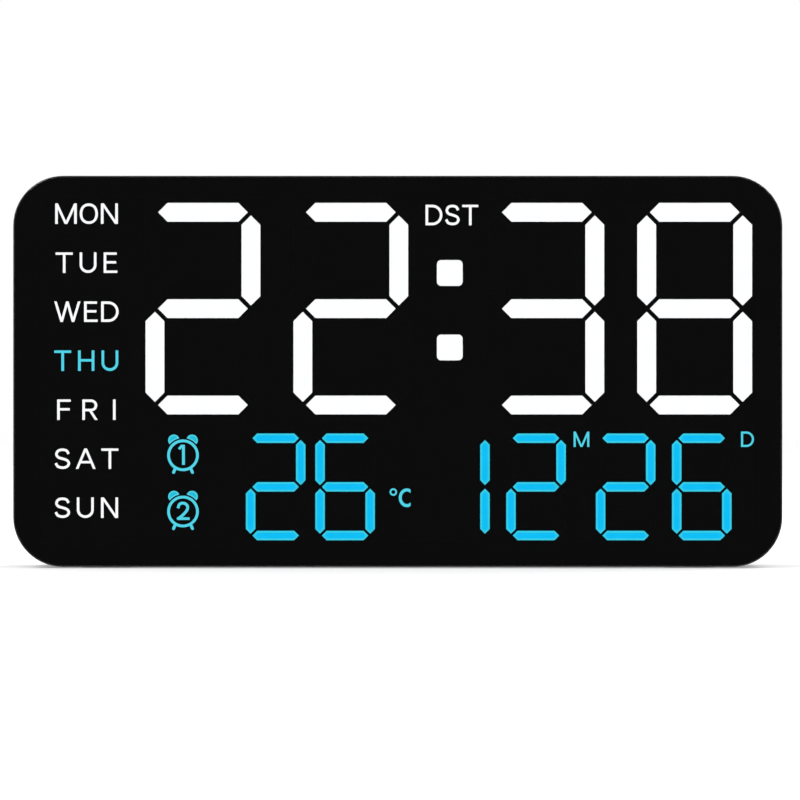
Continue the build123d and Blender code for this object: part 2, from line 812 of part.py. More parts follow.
    # case screw holes with counterbores
    with BuildSketch(panel_plane(rear_y)):
        with Locations(*case_points):
            Circle(counterbore_r)
    extrude(amount=case_screw_seat, mode=Mode.SUBTRACT)
    with BuildSketch(panel_plane(case_seat_y)):
        with Locations(*case_points):
            Circle(screw_clear_r)
    extrude(amount=case_seat_y - parting_y, mode=Mode.SUBTRACT)
    # keyhole hangers
    with BuildSketch(panel_plane(rear_y)):
        with Locations(*hanger_points):
            Circle(hanger_entry_r)
        with Locations(*[(x, z + hanger_rise / 2) for x, z in hanger_points]):
            Rectangle(hanger_slot_w, hanger_rise)
        with Locations(*[(x, z + hanger_rise) for x, z in hanger_points]):
            Circle(hanger_slot_w / 2)
    extrude(amount=wall + hanger_rim_h, mode=Mode.SUBTRACT)
    # sound holes and air slots
    with BuildSketch(panel_plane(rear_y)):
        with Locations(*sound_point):
            for count, ring_r in sound_rings:
                with PolarLocations(ring_r, count):
                    Circle(sound_hole_r)
        with Locations(*slot_point):
            with GridLocations(0, slot_pitch, 1, slot_count):
                SlotOverall(slot_l, slot_w)
    extrude(amount=wall, mode=Mode.SUBTRACT)
    # pockets for the rear feet
    with BuildSketch(Plane.XY.offset(foot_proud)):
        with Locations((-foot_x, rear_foot_y), (foot_x, rear_foot_y)):
            SlotOverall(foot_l + 2 * foot_fit, foot_w + 2 * foot_fit)
    extrude(amount=foot_pocket, mode=Mode.SUBTRACT)
rear_cover.part.label = "rear_cover"
export_step(rear_cover.part, "parts/rear_cover.step")

# Anti-slip feet
with BuildPart() as feet:
    with BuildSketch(Plane.XY):
        with Locations(*[(i * foot_x, y) for i in (-1, 1) for y in (front_foot_y, rear_foot_y)]):
            SlotOverall(foot_l, foot_w)
    extrude(amount=foot_proud + foot_pocket)
feet.part.label = "feet"
export_step(feet.part, "parts/feet.step")

# Screws, one node for each kind: name, places, seat of the head and shank length
screw_groups = [
    ("case_screws", case_points, case_seat_y, case_screw_l),
    ("module_screws", module_points, board_y, module_screw_l),
    ("board_screws", post_points, board_back_y, board_screw_l),
]
for name, points, seat_y, shank_l in screw_groups:
    with BuildPart() as screws:
        with BuildSketch(panel_plane(seat_y)):
            with Locations(*points):
                Circle(screw_head_r)
        extrude(amount=-screw_head_h)
        with BuildSketch(panel_plane(seat_y)):
            with Locations(*points):
                Circle(screw_r)
        extrude(amount=shank_l)
        with BuildSketch(panel_plane(seat_y + screw_head_h)):
            draw_cross(points)
        extrude(amount=recess_h, mode=Mode.SUBTRACT)
    screws.part.label = name
    export_step(screws.part, f"parts/{name}.step")

# Stand leg with its bore, finger notch, sunk panel and seats for the rubber tips
leg_front_y = hinge_y - leg_t / 2
leg_mid_z = hinge_z + (heel - leg_reach) / 2
leg_full_h = leg_reach + heel
tip_x = (notch_r + leg_w / 2) / 2
tip_l = tip_share * (leg_w / 2 - notch_r)
tip_points = [(-tip_x, hinge_y), (tip_x, hinge_y)]
with BuildPart() as stand_leg:
    with BuildSketch(panel_plane(leg_front_y)):
        with Locations((0, leg_mid_z)):
            RectangleRounded(leg_w, leg_full_h, leg_corner_r)
        with Locations((0, leg_tip_z)):
            Circle(notch_r, mode=Mode.SUBTRACT)
    extrude(amount=-leg_t)
    fillet(stand_leg.faces().sort_by(Axis.Y)[-1].edges(), leg_edge_r)
    with BuildSketch(panel_plane(leg_front_y + leg_t)):
        with Locations((0, leg_mid_z + notch_r / 2)):
            panel_w = leg_w - 2 * leg_panel_inset
            panel_h = leg_full_h - 2 * leg_panel_inset - notch_r
            RectangleRounded(panel_w, panel_h, leg_corner_r)
    extrude(amount=leg_panel_depth, mode=Mode.SUBTRACT)
    with BuildSketch(Plane.YZ.offset(-leg_w / 2)):
        with Locations((hinge_y, panel_z + hinge_z)):
            Circle(pin_r + pin_run)
    extrude(amount=leg_w, mode=Mode.SUBTRACT)
    with BuildSketch(Plane.XY.offset(panel_z + leg_tip_z)):
        with Locations(*tip_points):
            SlotOverall(tip_l + 2 * foot_fit, tip_w + 2 * foot_fit)
    extrude(amount=tip_depth, mode=Mode.SUBTRACT)
stand_leg.part.label = "stand_leg"
export_step(stand_leg.part, "parts/stand_leg.step")

# Rubber tips of the leg
with BuildPart() as stand_tips:
    with BuildSketch(Plane.XY.offset(panel_z + leg_tip_z - tip_proud)):
        with Locations(*tip_points):
            SlotOverall(tip_l, tip_w)
    extrude(amount=tip_depth + tip_proud)
stand_tips.part.label = "stand_tips"
export_step(stand_tips.part, "parts/stand_tips.step")

# Hinge pin, held in the blocks beside the recess
with BuildPart() as stand_pin:
    with BuildSketch(Plane.YZ.offset(-pin_half + pin_fit)):
        with Locations((hinge_y, panel_z + hinge_z)):
            Circle(pin_r)
    extrude(amount=2 * (pin_half - pin_fit))
stand_pin.part.label = "stand_pin"
export_step(stand_pin.part, "parts/stand_pin.step")

# Push buttons, each with the plunger of its switch
flange_top_y = strip_y - wall - button_rest_gap
flange_low_y = flange_top_y - button_flange_t
switch_top_y = board_back_y + switch_h
for name, x in zip(button_names, button_xs):
    with BuildPart() as button:
        with BuildSketch(panel_plane(flange_top_y)):
            with Locations((x, button_z)):
                SlotOverall(button_l, button_w)
        extrude(amount=-(strip_y + button_proud - flange_top_y))
        fillet(button.faces().sort_by(Axis.Y)[-1].edges(), button_edge_r)
        with BuildSketch(panel_plane(flange_low_y)):
            with Locations((x, button_z)):
                SlotOverall(button_l + 2 * button_flange, button_w + 2 * button_flange)
        extrude(amount=-button_flange_t)
    button.part.label = f"{name}_button"
    export_step(button.part, f"parts/{name}_button.step")
    with BuildPart() as plunger:
        with BuildSketch(panel_plane(switch_top_y - plunger_depth)):
            with Locations((x, button_z)):
                Circle(plunger_r)
        extrude(amount=-(flange_low_y - switch_top_y + plunger_depth))
    plunger.part.label = f"{name}_plunger"
    export_step(plunger.part, f"parts/{name}_plunger.step")

# Switch bodies on the board
with BuildPart() as switch_bodies:
    with BuildSketch(panel_plane(board_back_y)):
        with Locations(*button_points):
            Rectangle(switch_side, switch_side)
    extrude(amount=-switch_h)
    with BuildSketch(panel_plane(switch_top_y)):
        with Locations(*button_points):
            Circle(plunger_r + plunger_run)
    extrude(amount=plunger_depth + button_travel + plunger_end_gap, mode=Mode.SUBTRACT)
switch_bodies.part.label = "switch_bodies"
export_step(switch_bodies.part, "parts/switch_bodies.step")

# Power socket: metal shell closed at its base, and the tongue inside
with BuildPart() as socket_shell:
    with BuildSketch(panel_plane(board_back_y)):
        with Locations((socket_x, socket_z)):
            SlotOverall(socket_l, socket_w)
    extrude(amount=-(socket_floor_y - board_back_y))
    with BuildSketch(panel_plane(socket_floor_y)):
        with Locations((socket_x, socket_z)):
            SlotOverall(socket_l - 2 * socket_wall, socket_w - 2 * socket_wall)
    extrude(amount=socket_floor_y - board_back_y - socket_base, mode=Mode.SUBTRACT)
socket_shell.part.label = "socket_shell"
export_step(socket_shell.part, "parts/socket_shell.step")

with BuildPart() as socket_tongue:
    with BuildSketch(panel_plane(board_back_y + socket_base)):
        with Locations((socket_x, socket_z)):
            Rectangle(tongue_l, tongue_t)
    extrude(amount=-(socket_floor_y - board_back_y - socket_base - tongue_short))
socket_tongue.part.label = "socket_tongue"
export_step(socket_tongue.part, "parts/socket_tongue.step")

# Back-up cell, its smaller face towards the board
with BuildPart() as coin_cell:
    with BuildSketch(panel_plane(cell_top_y)):
        with Locations((cell_x, cell_z)):
            Circle(cell_r)
    extrude(amount=cell_t - cell_step)
    with BuildSketch(panel_plane(cell_top_y - cell_t)):
        with Locations((cell_x, cell_z)):
            Circle(cell_step_r)
    extrude(amount=-cell_step)
coin_cell.part.label = "coin_cell"
export_step(coin_cell.part, "parts/coin_cell.step")

# Contacts: a blade beside the cell, and a blade with a leaf under it
with BuildPart() as plus_contact:
    with BuildSketch(panel_plane(board_back_y)):
        with Locations((contact_x, cell_z)):
            Rectangle(contact_t, contact_w)
    extrude(amount=-(cell_top_y - cell_step - board_back_y))
plus_contact.part.label = "plus_contact"
export_step(plus_contact.part, "parts/plus_contact.step")

with BuildPart() as minus_contact:
    with BuildSketch(panel_plane(board_back_y)):
        with Locations((cell_x, cell_z)):
            Rectangle(contact_t, contact_w)
    extrude(amount=-(cell_floor_y - board_back_y))
    with BuildSketch(panel_plane(cell_floor_y)):
        with Locations((cell_x, cell_z)):
            Rectangle(leaf_l, contact_w)
    extrude(amount=-contact_t)
minus_contact.part.label = "minus_contact"
export_step(minus_contact.part, "parts/minus_contact.step")

# Battery door and its captive screw
door_face_y = rear_y - door_sink
door_seat_y = door_face_y - door_head_h
with BuildPart() as battery_door:
    with BuildSketch(panel_plane(rear_y - door_t)):
        with Locations((door_mid_x, cell_z)):
            RectangleRounded(door_l, door_h, door_r)
    extrude(amount=-(door_t - door_sink))
    with BuildSketch(panel_plane(door_face_y)):
        with Locations(*door_point):
            Circle(door_head_r + pin_run)
    extrude(amount=door_head_h, mode=Mode.SUBTRACT)
    with BuildSketch(panel_plane(door_seat_y)):
        with Locations(*door_point):
            Circle(screw_r + pin_run)
    extrude(amount=door_t - door_sink - door_head_h, mode=Mode.SUBTRACT)
battery_door.part.label = "battery_door"
export_step(battery_door.part, "parts/battery_door.step")

with BuildPart() as door_screw:
    with BuildSketch(panel_plane(door_seat_y)):
        with Locations(*door_point):
            Circle(door_head_r)
    extrude(amount=-(door_head_h - pin_run))
    with BuildSketch(panel_plane(door_seat_y)):
        with Locations(*door_point):
            Circle(screw_r)
    extrude(amount=door_screw_l - pin_run)
    with BuildSketch(panel_plane(door_face_y - pin_run)):
        draw_cross(door_point)
    extrude(amount=recess_h, mode=Mode.SUBTRACT)
door_screw.part.label = "door_screw"
export_step(door_screw.part, "parts/door_screw.step")

# Chips on the rear of the board
with BuildPart() as controller_chip:
    with BuildSketch(panel_plane(board_back_y)):
        with Locations((0, bottom + controller_height)):
            Rectangle(controller_side, controller_side)
    extrude(amount=-controller_h)
    chamfer(controller_chip.faces().sort_by(Axis.Y)[-1].edges(), chip_edge)
controller_chip.part.label = "controller_chip"
export_step(controller_chip.part, "parts/controller_chip.step")

with BuildPart() as driver_chips:
    with BuildSketch(panel_plane(board_back_y)):
        with Locations(*[(i * driver_x, bottom + controller_height) for i in (-1, 1)]):
            Rectangle(driver_l, driver_w)
    extrude(amount=-driver_h)
    chamfer(driver_chips.faces().group_by(Axis.Y)[-1].edges(), chip_edge)
driver_chips.part.label = "driver_chips"
export_step(driver_chips.part, "parts/driver_chips.step")

# Clock crystal, a small can lying on the board
with BuildPart() as clock_crystal:
    with BuildSketch(Plane.YZ.offset(-crystal_l / 2)):
        with Locations((board_back_y + crystal_r, panel_z + bottom + crystal_height)):
            Circle(crystal_r)
    extrude(amount=crystal_l)
clock_crystal.part.label = "clock_crystal"
export_step(clock_crystal.part, "parts/clock_crystal.step")

# Two upright capacitors
capacitor_x = socket_x - capacitor_gap
capacitor_z = bottom + capacitor_height
with BuildPart() as capacitors:
    with BuildSketch(panel_plane(board_back_y)):
        with Locations(*[(capacitor_x - i * capacitor_pitch, capacitor_z) for i in (0, 1)]):
            Circle(capacitor_r)
    extrude(amount=-capacitor_h)
    fillet(capacitors.faces().group_by(Axis.Y)[-1].edges(), chip_edge)
capacitors.part.label = "capacitors"
export_step(capacitors.part, "parts/capacitors.step")

# Buzzer behind the sound holes
with BuildPart() as buzzer:
    with BuildSketch(panel_plane(board_back_y)):
        with Locations(*sound_point):
            Circle(buzzer_r)
    extrude(amount=-buzzer_h)
    with BuildSketch(panel_plane(board_back_y + buzzer_h)):
        with Locations(*sound_point):
            Circle(buzzer_mouth_r)
    extrude(amount=buzzer_mouth, mode=Mode.SUBTRACT)
buzzer.part.label = "buzzer"
export_step(buzzer.part, "parts/buzzer.step")

# Temperature sensor: a bead on two leads behind the air slots
with BuildPart() as temperature_sensor:
    with BuildSketch(panel_plane(board_back_y)):
        with Locations(*slot_point):
            with GridLocations(lead_pitch, 0, 2, 1):
                Circle(lead_r)
    extrude(amount=-bead_height)
    with Locations(*[(x, board_back_y + bead_height, panel_z + z) for x, z in slot_point]):
        Sphere(bead_r)
temperature_sensor.part.label = "temperature_sensor"
export_step(temperature_sensor.part, "parts/temperature_sensor.step")
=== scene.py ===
import bpy
import numpy as np
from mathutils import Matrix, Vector
from mathutils.geometry import delaunay_2d_cdt


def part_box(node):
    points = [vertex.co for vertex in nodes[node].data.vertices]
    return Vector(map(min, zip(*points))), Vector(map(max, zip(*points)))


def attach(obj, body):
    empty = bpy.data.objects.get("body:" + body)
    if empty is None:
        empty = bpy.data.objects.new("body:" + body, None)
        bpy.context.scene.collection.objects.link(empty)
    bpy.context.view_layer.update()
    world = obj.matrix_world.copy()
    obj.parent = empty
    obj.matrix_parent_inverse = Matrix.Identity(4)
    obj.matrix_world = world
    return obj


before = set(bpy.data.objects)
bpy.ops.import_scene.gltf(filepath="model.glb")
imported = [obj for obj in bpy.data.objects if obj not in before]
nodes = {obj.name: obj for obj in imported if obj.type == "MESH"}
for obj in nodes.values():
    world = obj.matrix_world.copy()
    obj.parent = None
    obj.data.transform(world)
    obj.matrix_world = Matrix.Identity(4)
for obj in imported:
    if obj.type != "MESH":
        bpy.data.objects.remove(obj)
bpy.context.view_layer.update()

# Places taken from the CAD nodes, in metres. The signs are drawn in millimetres from the panel's centre.
MM = 0.001
KEYS = ("set", "up", "down", "alarm", "light")
lens_low, lens_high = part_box("front_lens")
leg_low, leg_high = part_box("stand_leg")
cell_low, cell_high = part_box("coin_cell")
film_low, film_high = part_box("display_mask")
PANEL_Z = (lens_low[2] + lens_high[2]) / 2
FILM_Y = film_low[1]
# Corner radii of the case and the leg, and the thickness of a print
CASE_CORNER, LEG_CORNER, PRINT_T = 0.01335, 0.004, 0.00003


# Materials

def grey(level):
    """A colour without hue."""
    return (level, level, level)


def new_material(name):
    """A node material with a Principled shader; gives the material, its tree and the shader."""
    mat = bpy.data.materials.new(name)
    mat.use_nodes = True
    tree = mat.node_tree
    shader = tree.nodes["Principled BSDF"]
    return mat, tree, shader


def noise_on_object(tree, scale, detail=4.0, stretch=None):
    """Noise in the object's own coordinates, in features per metre; stretch squeezes one axis.

    Gives the socket that carries the noise.
    """
    place = tree.nodes.new("ShaderNodeTexCoord")
    noise = tree.nodes.new("ShaderNodeTexNoise")
    noise.inputs["Scale"].default_value = scale
    noise.inputs["Detail"].default_value = detail
    if stretch:
        turn = tree.nodes.new("ShaderNodeMapping")
        turn.inputs["Scale"].default_value = stretch
        tree.links.new(place.outputs["Object"], turn.inputs["Vector"])
        tree.links.new(turn.outputs["Vector"], noise.inputs["Vector"])
    else:
        tree.links.new(place.outputs["Object"], noise.inputs["Vector"])
    return noise.outputs["Fac"]


def colour_between(tree, source, low, high, socket, start=0.35, end=0.65):
    """Runs a noise through a ramp from colour low to colour high into a socket."""
    ramp = tree.nodes.new("ShaderNodeValToRGB")
    ramp.color_ramp.elements[0].position = start
    ramp.color_ramp.elements[1].position = end
    ramp.color_ramp.elements[0].color = (*low, 1.0)
    ramp.color_ramp.elements[1].color = (*high, 1.0)
    tree.links.new(source, ramp.inputs["Fac"])
    tree.links.new(ramp.outputs["Color"], socket)


def value_between(tree, source, low, high, socket, start=0.3, end=0.7):
    """Maps a noise onto a range of values into a socket."""
    span = tree.nodes.new("ShaderNodeMapRange")
    span.inputs["From Min"].default_value = start
    span.inputs["From Max"].default_value = end
    span.inputs["To Min"].default_value = low
    span.inputs["To Max"].default_value = high
    tree.links.new(source, span.inputs["Value"])
    tree.links.new(span.outputs["Result"], socket)


def bumped(tree, source, shader, distance, strength=1.0):
    """Lets a noise raise the surface by up to distance metres."""
    bump = tree.nodes.new("ShaderNodeBump")
    bump.inputs["Distance"].default_value = distance
    bump.inputs["Strength"].default_value = strength
    tree.links.new(source, bump.inputs["Height"])
    tree.links.new(bump.outputs["Normal"], shader.inputs["Normal"])


def blended(tree, first, second, share):
    """Mixes two noises, with a share of the second."""
    both = tree.nodes.new("ShaderNodeMix")
    both.data_type = "FLOAT"
    both.inputs["Factor"].default_value = share
    tree.links.new(first, both.inputs["A"])
    tree.links.new(second, both.inputs["B"])
    return both.outputs["Result"]


def maths(tree, operation, first, second):
    """Socket of a sum, product or other operation on two values, each a socket or a number."""
    node = tree.nodes.new("ShaderNodeMath")
    node.operation = operation
    for socket, value in zip(node.inputs, (first, second)):
        if isinstance(value, bpy.types.NodeSocket):
            tree.links.new(value, socket)
        else:
            socket.default_value = value
    return node.outputs["Value"]


def rim_closeness(tree, centre, half, radius, reach):
    """How near a point is to the rims of an upright rounded slab: 1 on a rim and 0 from reach away.

    All distances from the centre are taken as positive. The way in from the side walls is the corner
    radius less the distance from the rectangle of the corners' centres, and the way in from the front
    or back is half the depth less y. On the slab's skin, the larger of the two leads to the nearest rim.
    """
    place = tree.nodes.new("ShaderNodeTexCoord")
    move = tree.nodes.new("ShaderNodeMapping")
    move.inputs["Location"].default_value = [-c for c in centre]
    tree.links.new(place.outputs["Object"], move.inputs["Vector"])
    size = tree.nodes.new("ShaderNodeVectorMath")
    size.operation = "ABSOLUTE"
    tree.links.new(move.outputs["Vector"], size.inputs[0])
    axes = tree.nodes.new("ShaderNodeSeparateXYZ")
    tree.links.new(size.outputs["Vector"], axes.inputs["Vector"])
    past_x = maths(tree, "SUBTRACT", axes.outputs["X"], half[0] - radius)
    past_z = maths(tree, "SUBTRACT", axes.outputs["Z"], half[2] - radius)
    square_x = maths(tree, "POWER", maths(tree, "MAXIMUM", past_x, 0.0), 2.0)
    square_z = maths(tree, "POWER", maths(tree, "MAXIMUM", past_z, 0.0), 2.0)
    outside = maths(tree, "POWER", maths(tree, "ADD", square_x, square_z), 0.5)
    within = maths(tree, "MINIMUM", maths(tree, "MAXIMUM", past_x, past_z), 0.0)
    from_side = maths(tree, "SUBTRACT", radius, maths(tree, "ADD", outside, within))
    from_face = maths(tree, "SUBTRACT", half[1], axes.outputs["Y"])
    near = tree.nodes.new("ShaderNodeMapRange")
    near.interpolation_type = "SMOOTHSTEP"
    near.inputs["From Min"].default_value = reach
    near.inputs["From Max"].default_value = reach / 4
    tree.links.new(maths(tree, "MAXIMUM", from_side, from_face), near.inputs["Value"])
    return near.outputs["Result"]


def polish_rims(mat, slab, lighter, smooth_to, reach):
    """Rubs the rims of a moulded slab: there the colour turns lighter and the skin smoother, in patches."""
    patch_scale, patch_start, patch_end, least = 240.0, 0.35, 0.60, 0.35
    tree = mat.node_tree
    shader = tree.nodes["Principled BSDF"]
    patches = tree.nodes.new("ShaderNodeMapRange")
    patches.inputs["From Min"].default_value = patch_start
    patches.inputs["From Max"].default_value = patch_end
    patches.inputs["To Min"].default_value = least
    tree.links.new(noise_on_object(tree, patch_scale, 5.0), patches.inputs["Value"])
    rubbed = maths(tree, "MULTIPLY", rim_closeness(tree, *slab, reach), patches.outputs["Result"])
    paint = tree.nodes.new("ShaderNodeMix")
    paint.data_type = "RGBA"
    gloss = tree.nodes.new("ShaderNodeMix")
    gloss.data_type = "FLOAT"
    colour_in, colour_to, colour_out = paint.inputs[6], paint.inputs[7], paint.outputs[2]
    tree.links.new(shader.inputs["Base Color"].links[0].from_socket, colour_in)
    tree.links.new(shader.inputs["Roughness"].links[0].from_socket, gloss.inputs["A"])
    colour_to.default_value = (*lighter, 1.0)
    gloss.inputs["B"].default_value = smooth_to
    for node in (paint, gloss):
        tree.links.new(rubbed, node.inputs["Factor"])
    tree.links.new(colour_out, shader.inputs["Base Color"])
    tree.links.new(gloss.outputs["Result"], shader.inputs["Roughness"])


def moulded(name, low, high, rough, grain, depth, metal=0.0, stretch=None, specular=0.5, speckle=0.5):
    """Moulded or drawn stuff: slow drift and fine speckle of colour, uneven gloss and a raised grain.

    low and high are the darkest and lightest colour, rough the range of roughness, grain the features
    per metre, and depth the height of the grain in metres.
    """
    drift = 45.0
    mat, tree, shader = new_material(name)
    slow = noise_on_object(tree, drift, 3.0)
    fine = noise_on_object(tree, grain, 4.0, stretch)
    both = blended(tree, slow, fine, speckle)
    colour_between(tree, both, low, high, shader.inputs["Base Color"])
    value_between(tree, both, *rough, shader.inputs["Roughness"])
    bumped(tree, fine, shader, depth)
    shader.inputs["Metallic"].default_value = metal
    shader.inputs["Specular IOR Level"].default_value = specular
    return mat


def glowing(name, low, high, strength):
    """Lit diffuser: light that drifts a little from place to place, on a dark plastic of uneven gloss."""
    drift, grain, own_colour, rough, specular = 260.0, 1500.0, grey(0.02), (0.45, 0.60), 0.2
    mat, tree, shader = new_material(name)
    slow = noise_on_object(tree, drift, 2.0)
    colour_between(tree, slow, low, high, shader.inputs["Emission Color"])
    shader.inputs["Emission Strength"].default_value = strength
    fine = noise_on_object(tree, grain, 2.0)
    value_between(tree, fine, *rough, shader.inputs["Roughness"])
    shader.inputs["Base Color"].default_value = (*own_colour, 1.0)
    shader.inputs["Specular IOR Level"].default_value = specular
    return mat


# Black and grey plastics, rubber, tape and ink
case_black = moulded("case_black", (0.008, 0.008, 0.0085), (0.022, 0.022, 0.023), (0.40, 0.58),
                     1500.0, 0.00016, specular=0.4, speckle=0.7)
leg_black = moulded("leg_black", (0.009, 0.009, 0.0095), (0.023, 0.023, 0.024), (0.38, 0.54),
                    1700.0, 0.00013, specular=0.4, speckle=0.7)
rubbed_black = (0.036, 0.036, 0.037)
case_slab = ((0.0, 0.0, PANEL_Z), (lens_high[0], -lens_low[1], PANEL_Z - lens_low[2]), CASE_CORNER)
leg_slab = ((leg_low + leg_high) / 2, (leg_high - leg_low) / 2, LEG_CORNER)
polish_rims(case_black, case_slab, rubbed_black, smooth_to=0.30, reach=0.0022)
polish_rims(leg_black, leg_slab, rubbed_black, smooth_to=0.28, reach=0.0016)
key_grey = moulded("key_grey", (0.060, 0.062, 0.065), (0.082, 0.084, 0.088), (0.34, 0.44), 3200.0, 0.00003)
film_black = moulded("film_black", grey(0.0022), grey(0.0030), (0.70, 0.80), 5000.0, 0.000002, specular=0.0)
tape_black = moulded("tape_black", grey(0.0070), grey(0.0085), (0.80, 0.90), 3000.0, 0.00002, specular=0.0)
ink_black = moulded("ink_black", grey(0.0070), grey(0.0085), (0.70, 0.80), 5000.0, 0.000002, specular=0.0)
unlit_tint = moulded("unlit_tint", (0.0030, 0.0030, 0.0032), (0.0040, 0.0040, 0.0042), (0.60, 0.70),
                     3000.0, 0.000002, specular=0.0)
soft_rubber = moulded("soft_rubber", grey(0.018), grey(0.026), (0.72, 0.84), 3500.0, 0.00003)
dark_moulding = moulded("dark_moulding", (0.020, 0.020, 0.021), (0.030, 0.030, 0.031), (0.45, 0.60),
                        2000.0, 0.00002)
dipped_bead = moulded("dipped_bead", (0.012, 0.012, 0.016), (0.020, 0.020, 0.024), (0.18, 0.28),
                      1500.0, 0.00002)

# Pale and coloured plastics and the print on the keys
white_plastic = moulded("white_plastic", (0.76, 0.76, 0.74), (0.82, 0.82, 0.80), (0.45, 0.55), 900.0, 0.00001)
milky = moulded("milky", (0.66, 0.68, 0.70), (0.72, 0.74, 0.76), (0.40, 0.50), 900.0, 0.00001)
board_green = moulded("board_green", (0.012, 0.10, 0.045), (0.018, 0.14, 0.06), (0.30, 0.40), 700.0, 0.00001)
lamp_yellow = moulded("lamp_yellow", (0.80, 0.70, 0.30), (0.86, 0.76, 0.36), (0.20, 0.30), 1500.0, 0.00001)
lamp_clear = moulded("lamp_clear", (0.66, 0.76, 0.86), (0.72, 0.82, 0.92), (0.20, 0.30), 1500.0, 0.00001)
print_grey = moulded("print_grey", (0.50, 0.50, 0.51), (0.58, 0.58, 0.59), (0.50, 0.62), 3000.0, 0.000005)

# Metals
dark_steel = moulded("dark_steel", (0.10, 0.10, 0.11), (0.15, 0.15, 0.16), (0.30, 0.42), 2500.0, 0.00001, 1.0)
zinc_steel = moulded("zinc_steel", (0.54, 0.55, 0.57), (0.62, 0.63, 0.65), (0.28, 0.38), 2000.0, 0.00001, 1.0)
ground_steel = moulded("ground_steel", (0.20, 0.20, 0.21), (0.26, 0.26, 0.27), (0.34, 0.46),
                       1500.0, 0.00001, 1.0, stretch=(8.0, 1.0, 1.0))
etched_steel = moulded("etched_steel", grey(0.22), grey(0.30), (0.45, 0.60), 3000.0, 0.000003, 1.0)
nickel = moulded("nickel", (0.62, 0.61, 0.59), (0.70, 0.69, 0.67), (0.20, 0.32), 1800.0, 0.00001, 1.0)
spring_strip = moulded("spring_strip", (0.66, 0.60, 0.46), (0.74, 0.68, 0.54), (0.26, 0.36),
                       1800.0, 0.00001, 1.0)
drawn_can = moulded("drawn_can", (0.60, 0.60, 0.62), (0.68, 0.68, 0.70), (0.26, 0.36), 1800.0, 0.00001, 1.0)
gilt = moulded("gilt", (0.78, 0.56, 0.22), (0.88, 0.66, 0.30), (0.18, 0.30), 3000.0, 0.000003, 1.0)

# Lights of the display, raised by what the lens takes away
LENS_PASS = 0.42
WHITE_LEVEL, BLUE_LEVEL = 1.08 / LENS_PASS, 1.04 / LENS_PASS
white_light = glowing("white_light", (0.98, 0.99, 1.0), (1.0, 1.0, 1.0), WHITE_LEVEL)
blue_light = glowing("blue_light", (0.0, 0.525, 0.92), (0.001, 0.545, 0.955), BLUE_LEVEL)
cyan_light = glowing("cyan_light", (0.078, 0.66, 0.80), (0.086, 0.69, 0.83), BLUE_LEVEL)
edge_light = glowing("edge_light", (0.042, 0.61, 0.73), (0.048, 0.64, 0.76), BLUE_LEVEL)
bell_light = glowing("bell_light", (0.007, 0.50, 0.68), (0.009, 0.53, 0.72), BLUE_LEVEL)


def smoked_acrylic():
    """Clear dark acrylic: tinted glass with a polish that faint wiping marks break up a little."""
    marks, along_z, dullest, blue_share, bending = 22.0, (1.0, 1.0, 0.35), 0.035, 1.02, 1.49
    mat, tree, shader = new_material("smoked_acrylic")
    smear = noise_on_object(tree, marks, 5.0, along_z)
    value_between(tree, smear, 0.0, dullest, shader.inputs["Roughness"], 0.45, 0.8)
    shader.inputs["Base Color"].default_value = (LENS_PASS, LENS_PASS, LENS_PASS * blue_share, 1.0)
    shader.inputs["Transmission Weight"].default_value = 1.0
    shader.inputs["IOR"].default_value = bending
    return mat


def spun_metal(name, centre, pitch):
    """Turned metal: rings of fine grooves about an axis along y through centre, and a slow stain.

    pitch is the distance between grooves in metres. A wave of scale one has its rings wave_length apart.
    """
    wave_length, groove, stain_scale, ring_share = 0.314, 0.000006, 160.0, 0.35
    mat, tree, shader = new_material(name)
    place = tree.nodes.new("ShaderNodeTexCoord")
    move = tree.nodes.new("ShaderNodeMapping")
    move.inputs["Location"].default_value = [-c for c in centre]
    rings = tree.nodes.new("ShaderNodeTexWave")
    rings.wave_type = "RINGS"
    rings.rings_direction = "Y"
    rings.inputs["Scale"].default_value = wave_length / pitch
    rings.inputs["Distortion"].default_value = 0.6
    rings.inputs["Detail"].default_value = 2.0
    tree.links.new(place.outputs["Object"], move.inputs["Vector"])
    tree.links.new(move.outputs["Vector"], rings.inputs["Vector"])
    stain = noise_on_object(tree, stain_scale, 3.0)
    both = blended(tree, stain, rings.outputs["Fac"], ring_share)
    colour_between(tree, both, (0.55, 0.55, 0.54), (0.68, 0.67, 0.65), shader.inputs["Base Color"])
    value_between(tree, both, 0.20, 0.34, shader.inputs["Roughness"])
    bumped(tree, rings.outputs["Fac"], shader, groove)
    shader.inputs["Metallic"].default_value = 1.0
    return mat


spun_steel = spun_metal("spun_steel", (cell_low + cell_high) / 2, 0.0004)
looks = {
    smoked_acrylic(): ["front_lens"],
    tape_black: ["lens_tape"],
    case_black: ["front_housing", "rear_cover", "battery_door"],
    leg_black: ["stand_leg"],
    film_black: ["display_mask"],
    white_plastic: ["light_reflector"],
    white_light: ["hour_bars_lit", "minute_bars_lit", "colon_dots"],
    blue_light: [f"{row}_bars_lit" for row in ("temperature", "month", "day")],
    unlit_tint: [f"{row}_bars_dark" for row in ("hour", "minute", "temperature", "month", "day")],
    milky: ["weekday_diffusers", "symbol_diffusers"],
    board_green: ["main_board"],
    lamp_yellow: ["white_lamps"],
    lamp_clear: ["blue_lamps"],
    soft_rubber: ["feet", "stand_tips"],
    dark_steel: ["case_screws", "door_screw"],
    zinc_steel: ["module_screws", "board_screws"],
    ground_steel: ["stand_pin"],
    nickel: ["socket_shell", "clock_crystal"],
    spun_steel: ["coin_cell"],
    spring_strip: ["plus_contact", "minus_contact"],
    drawn_can: ["capacitors"],
    dark_moulding: ["switch_bodies", "socket_tongue", "controller_chip", "driver_chips", "buzzer",
                    *[f"{key}_plunger" for key in KEYS]],
    dipped_bead: ["temperature_sensor"],
    key_grey: [f"{key}_button" for key in KEYS],
}
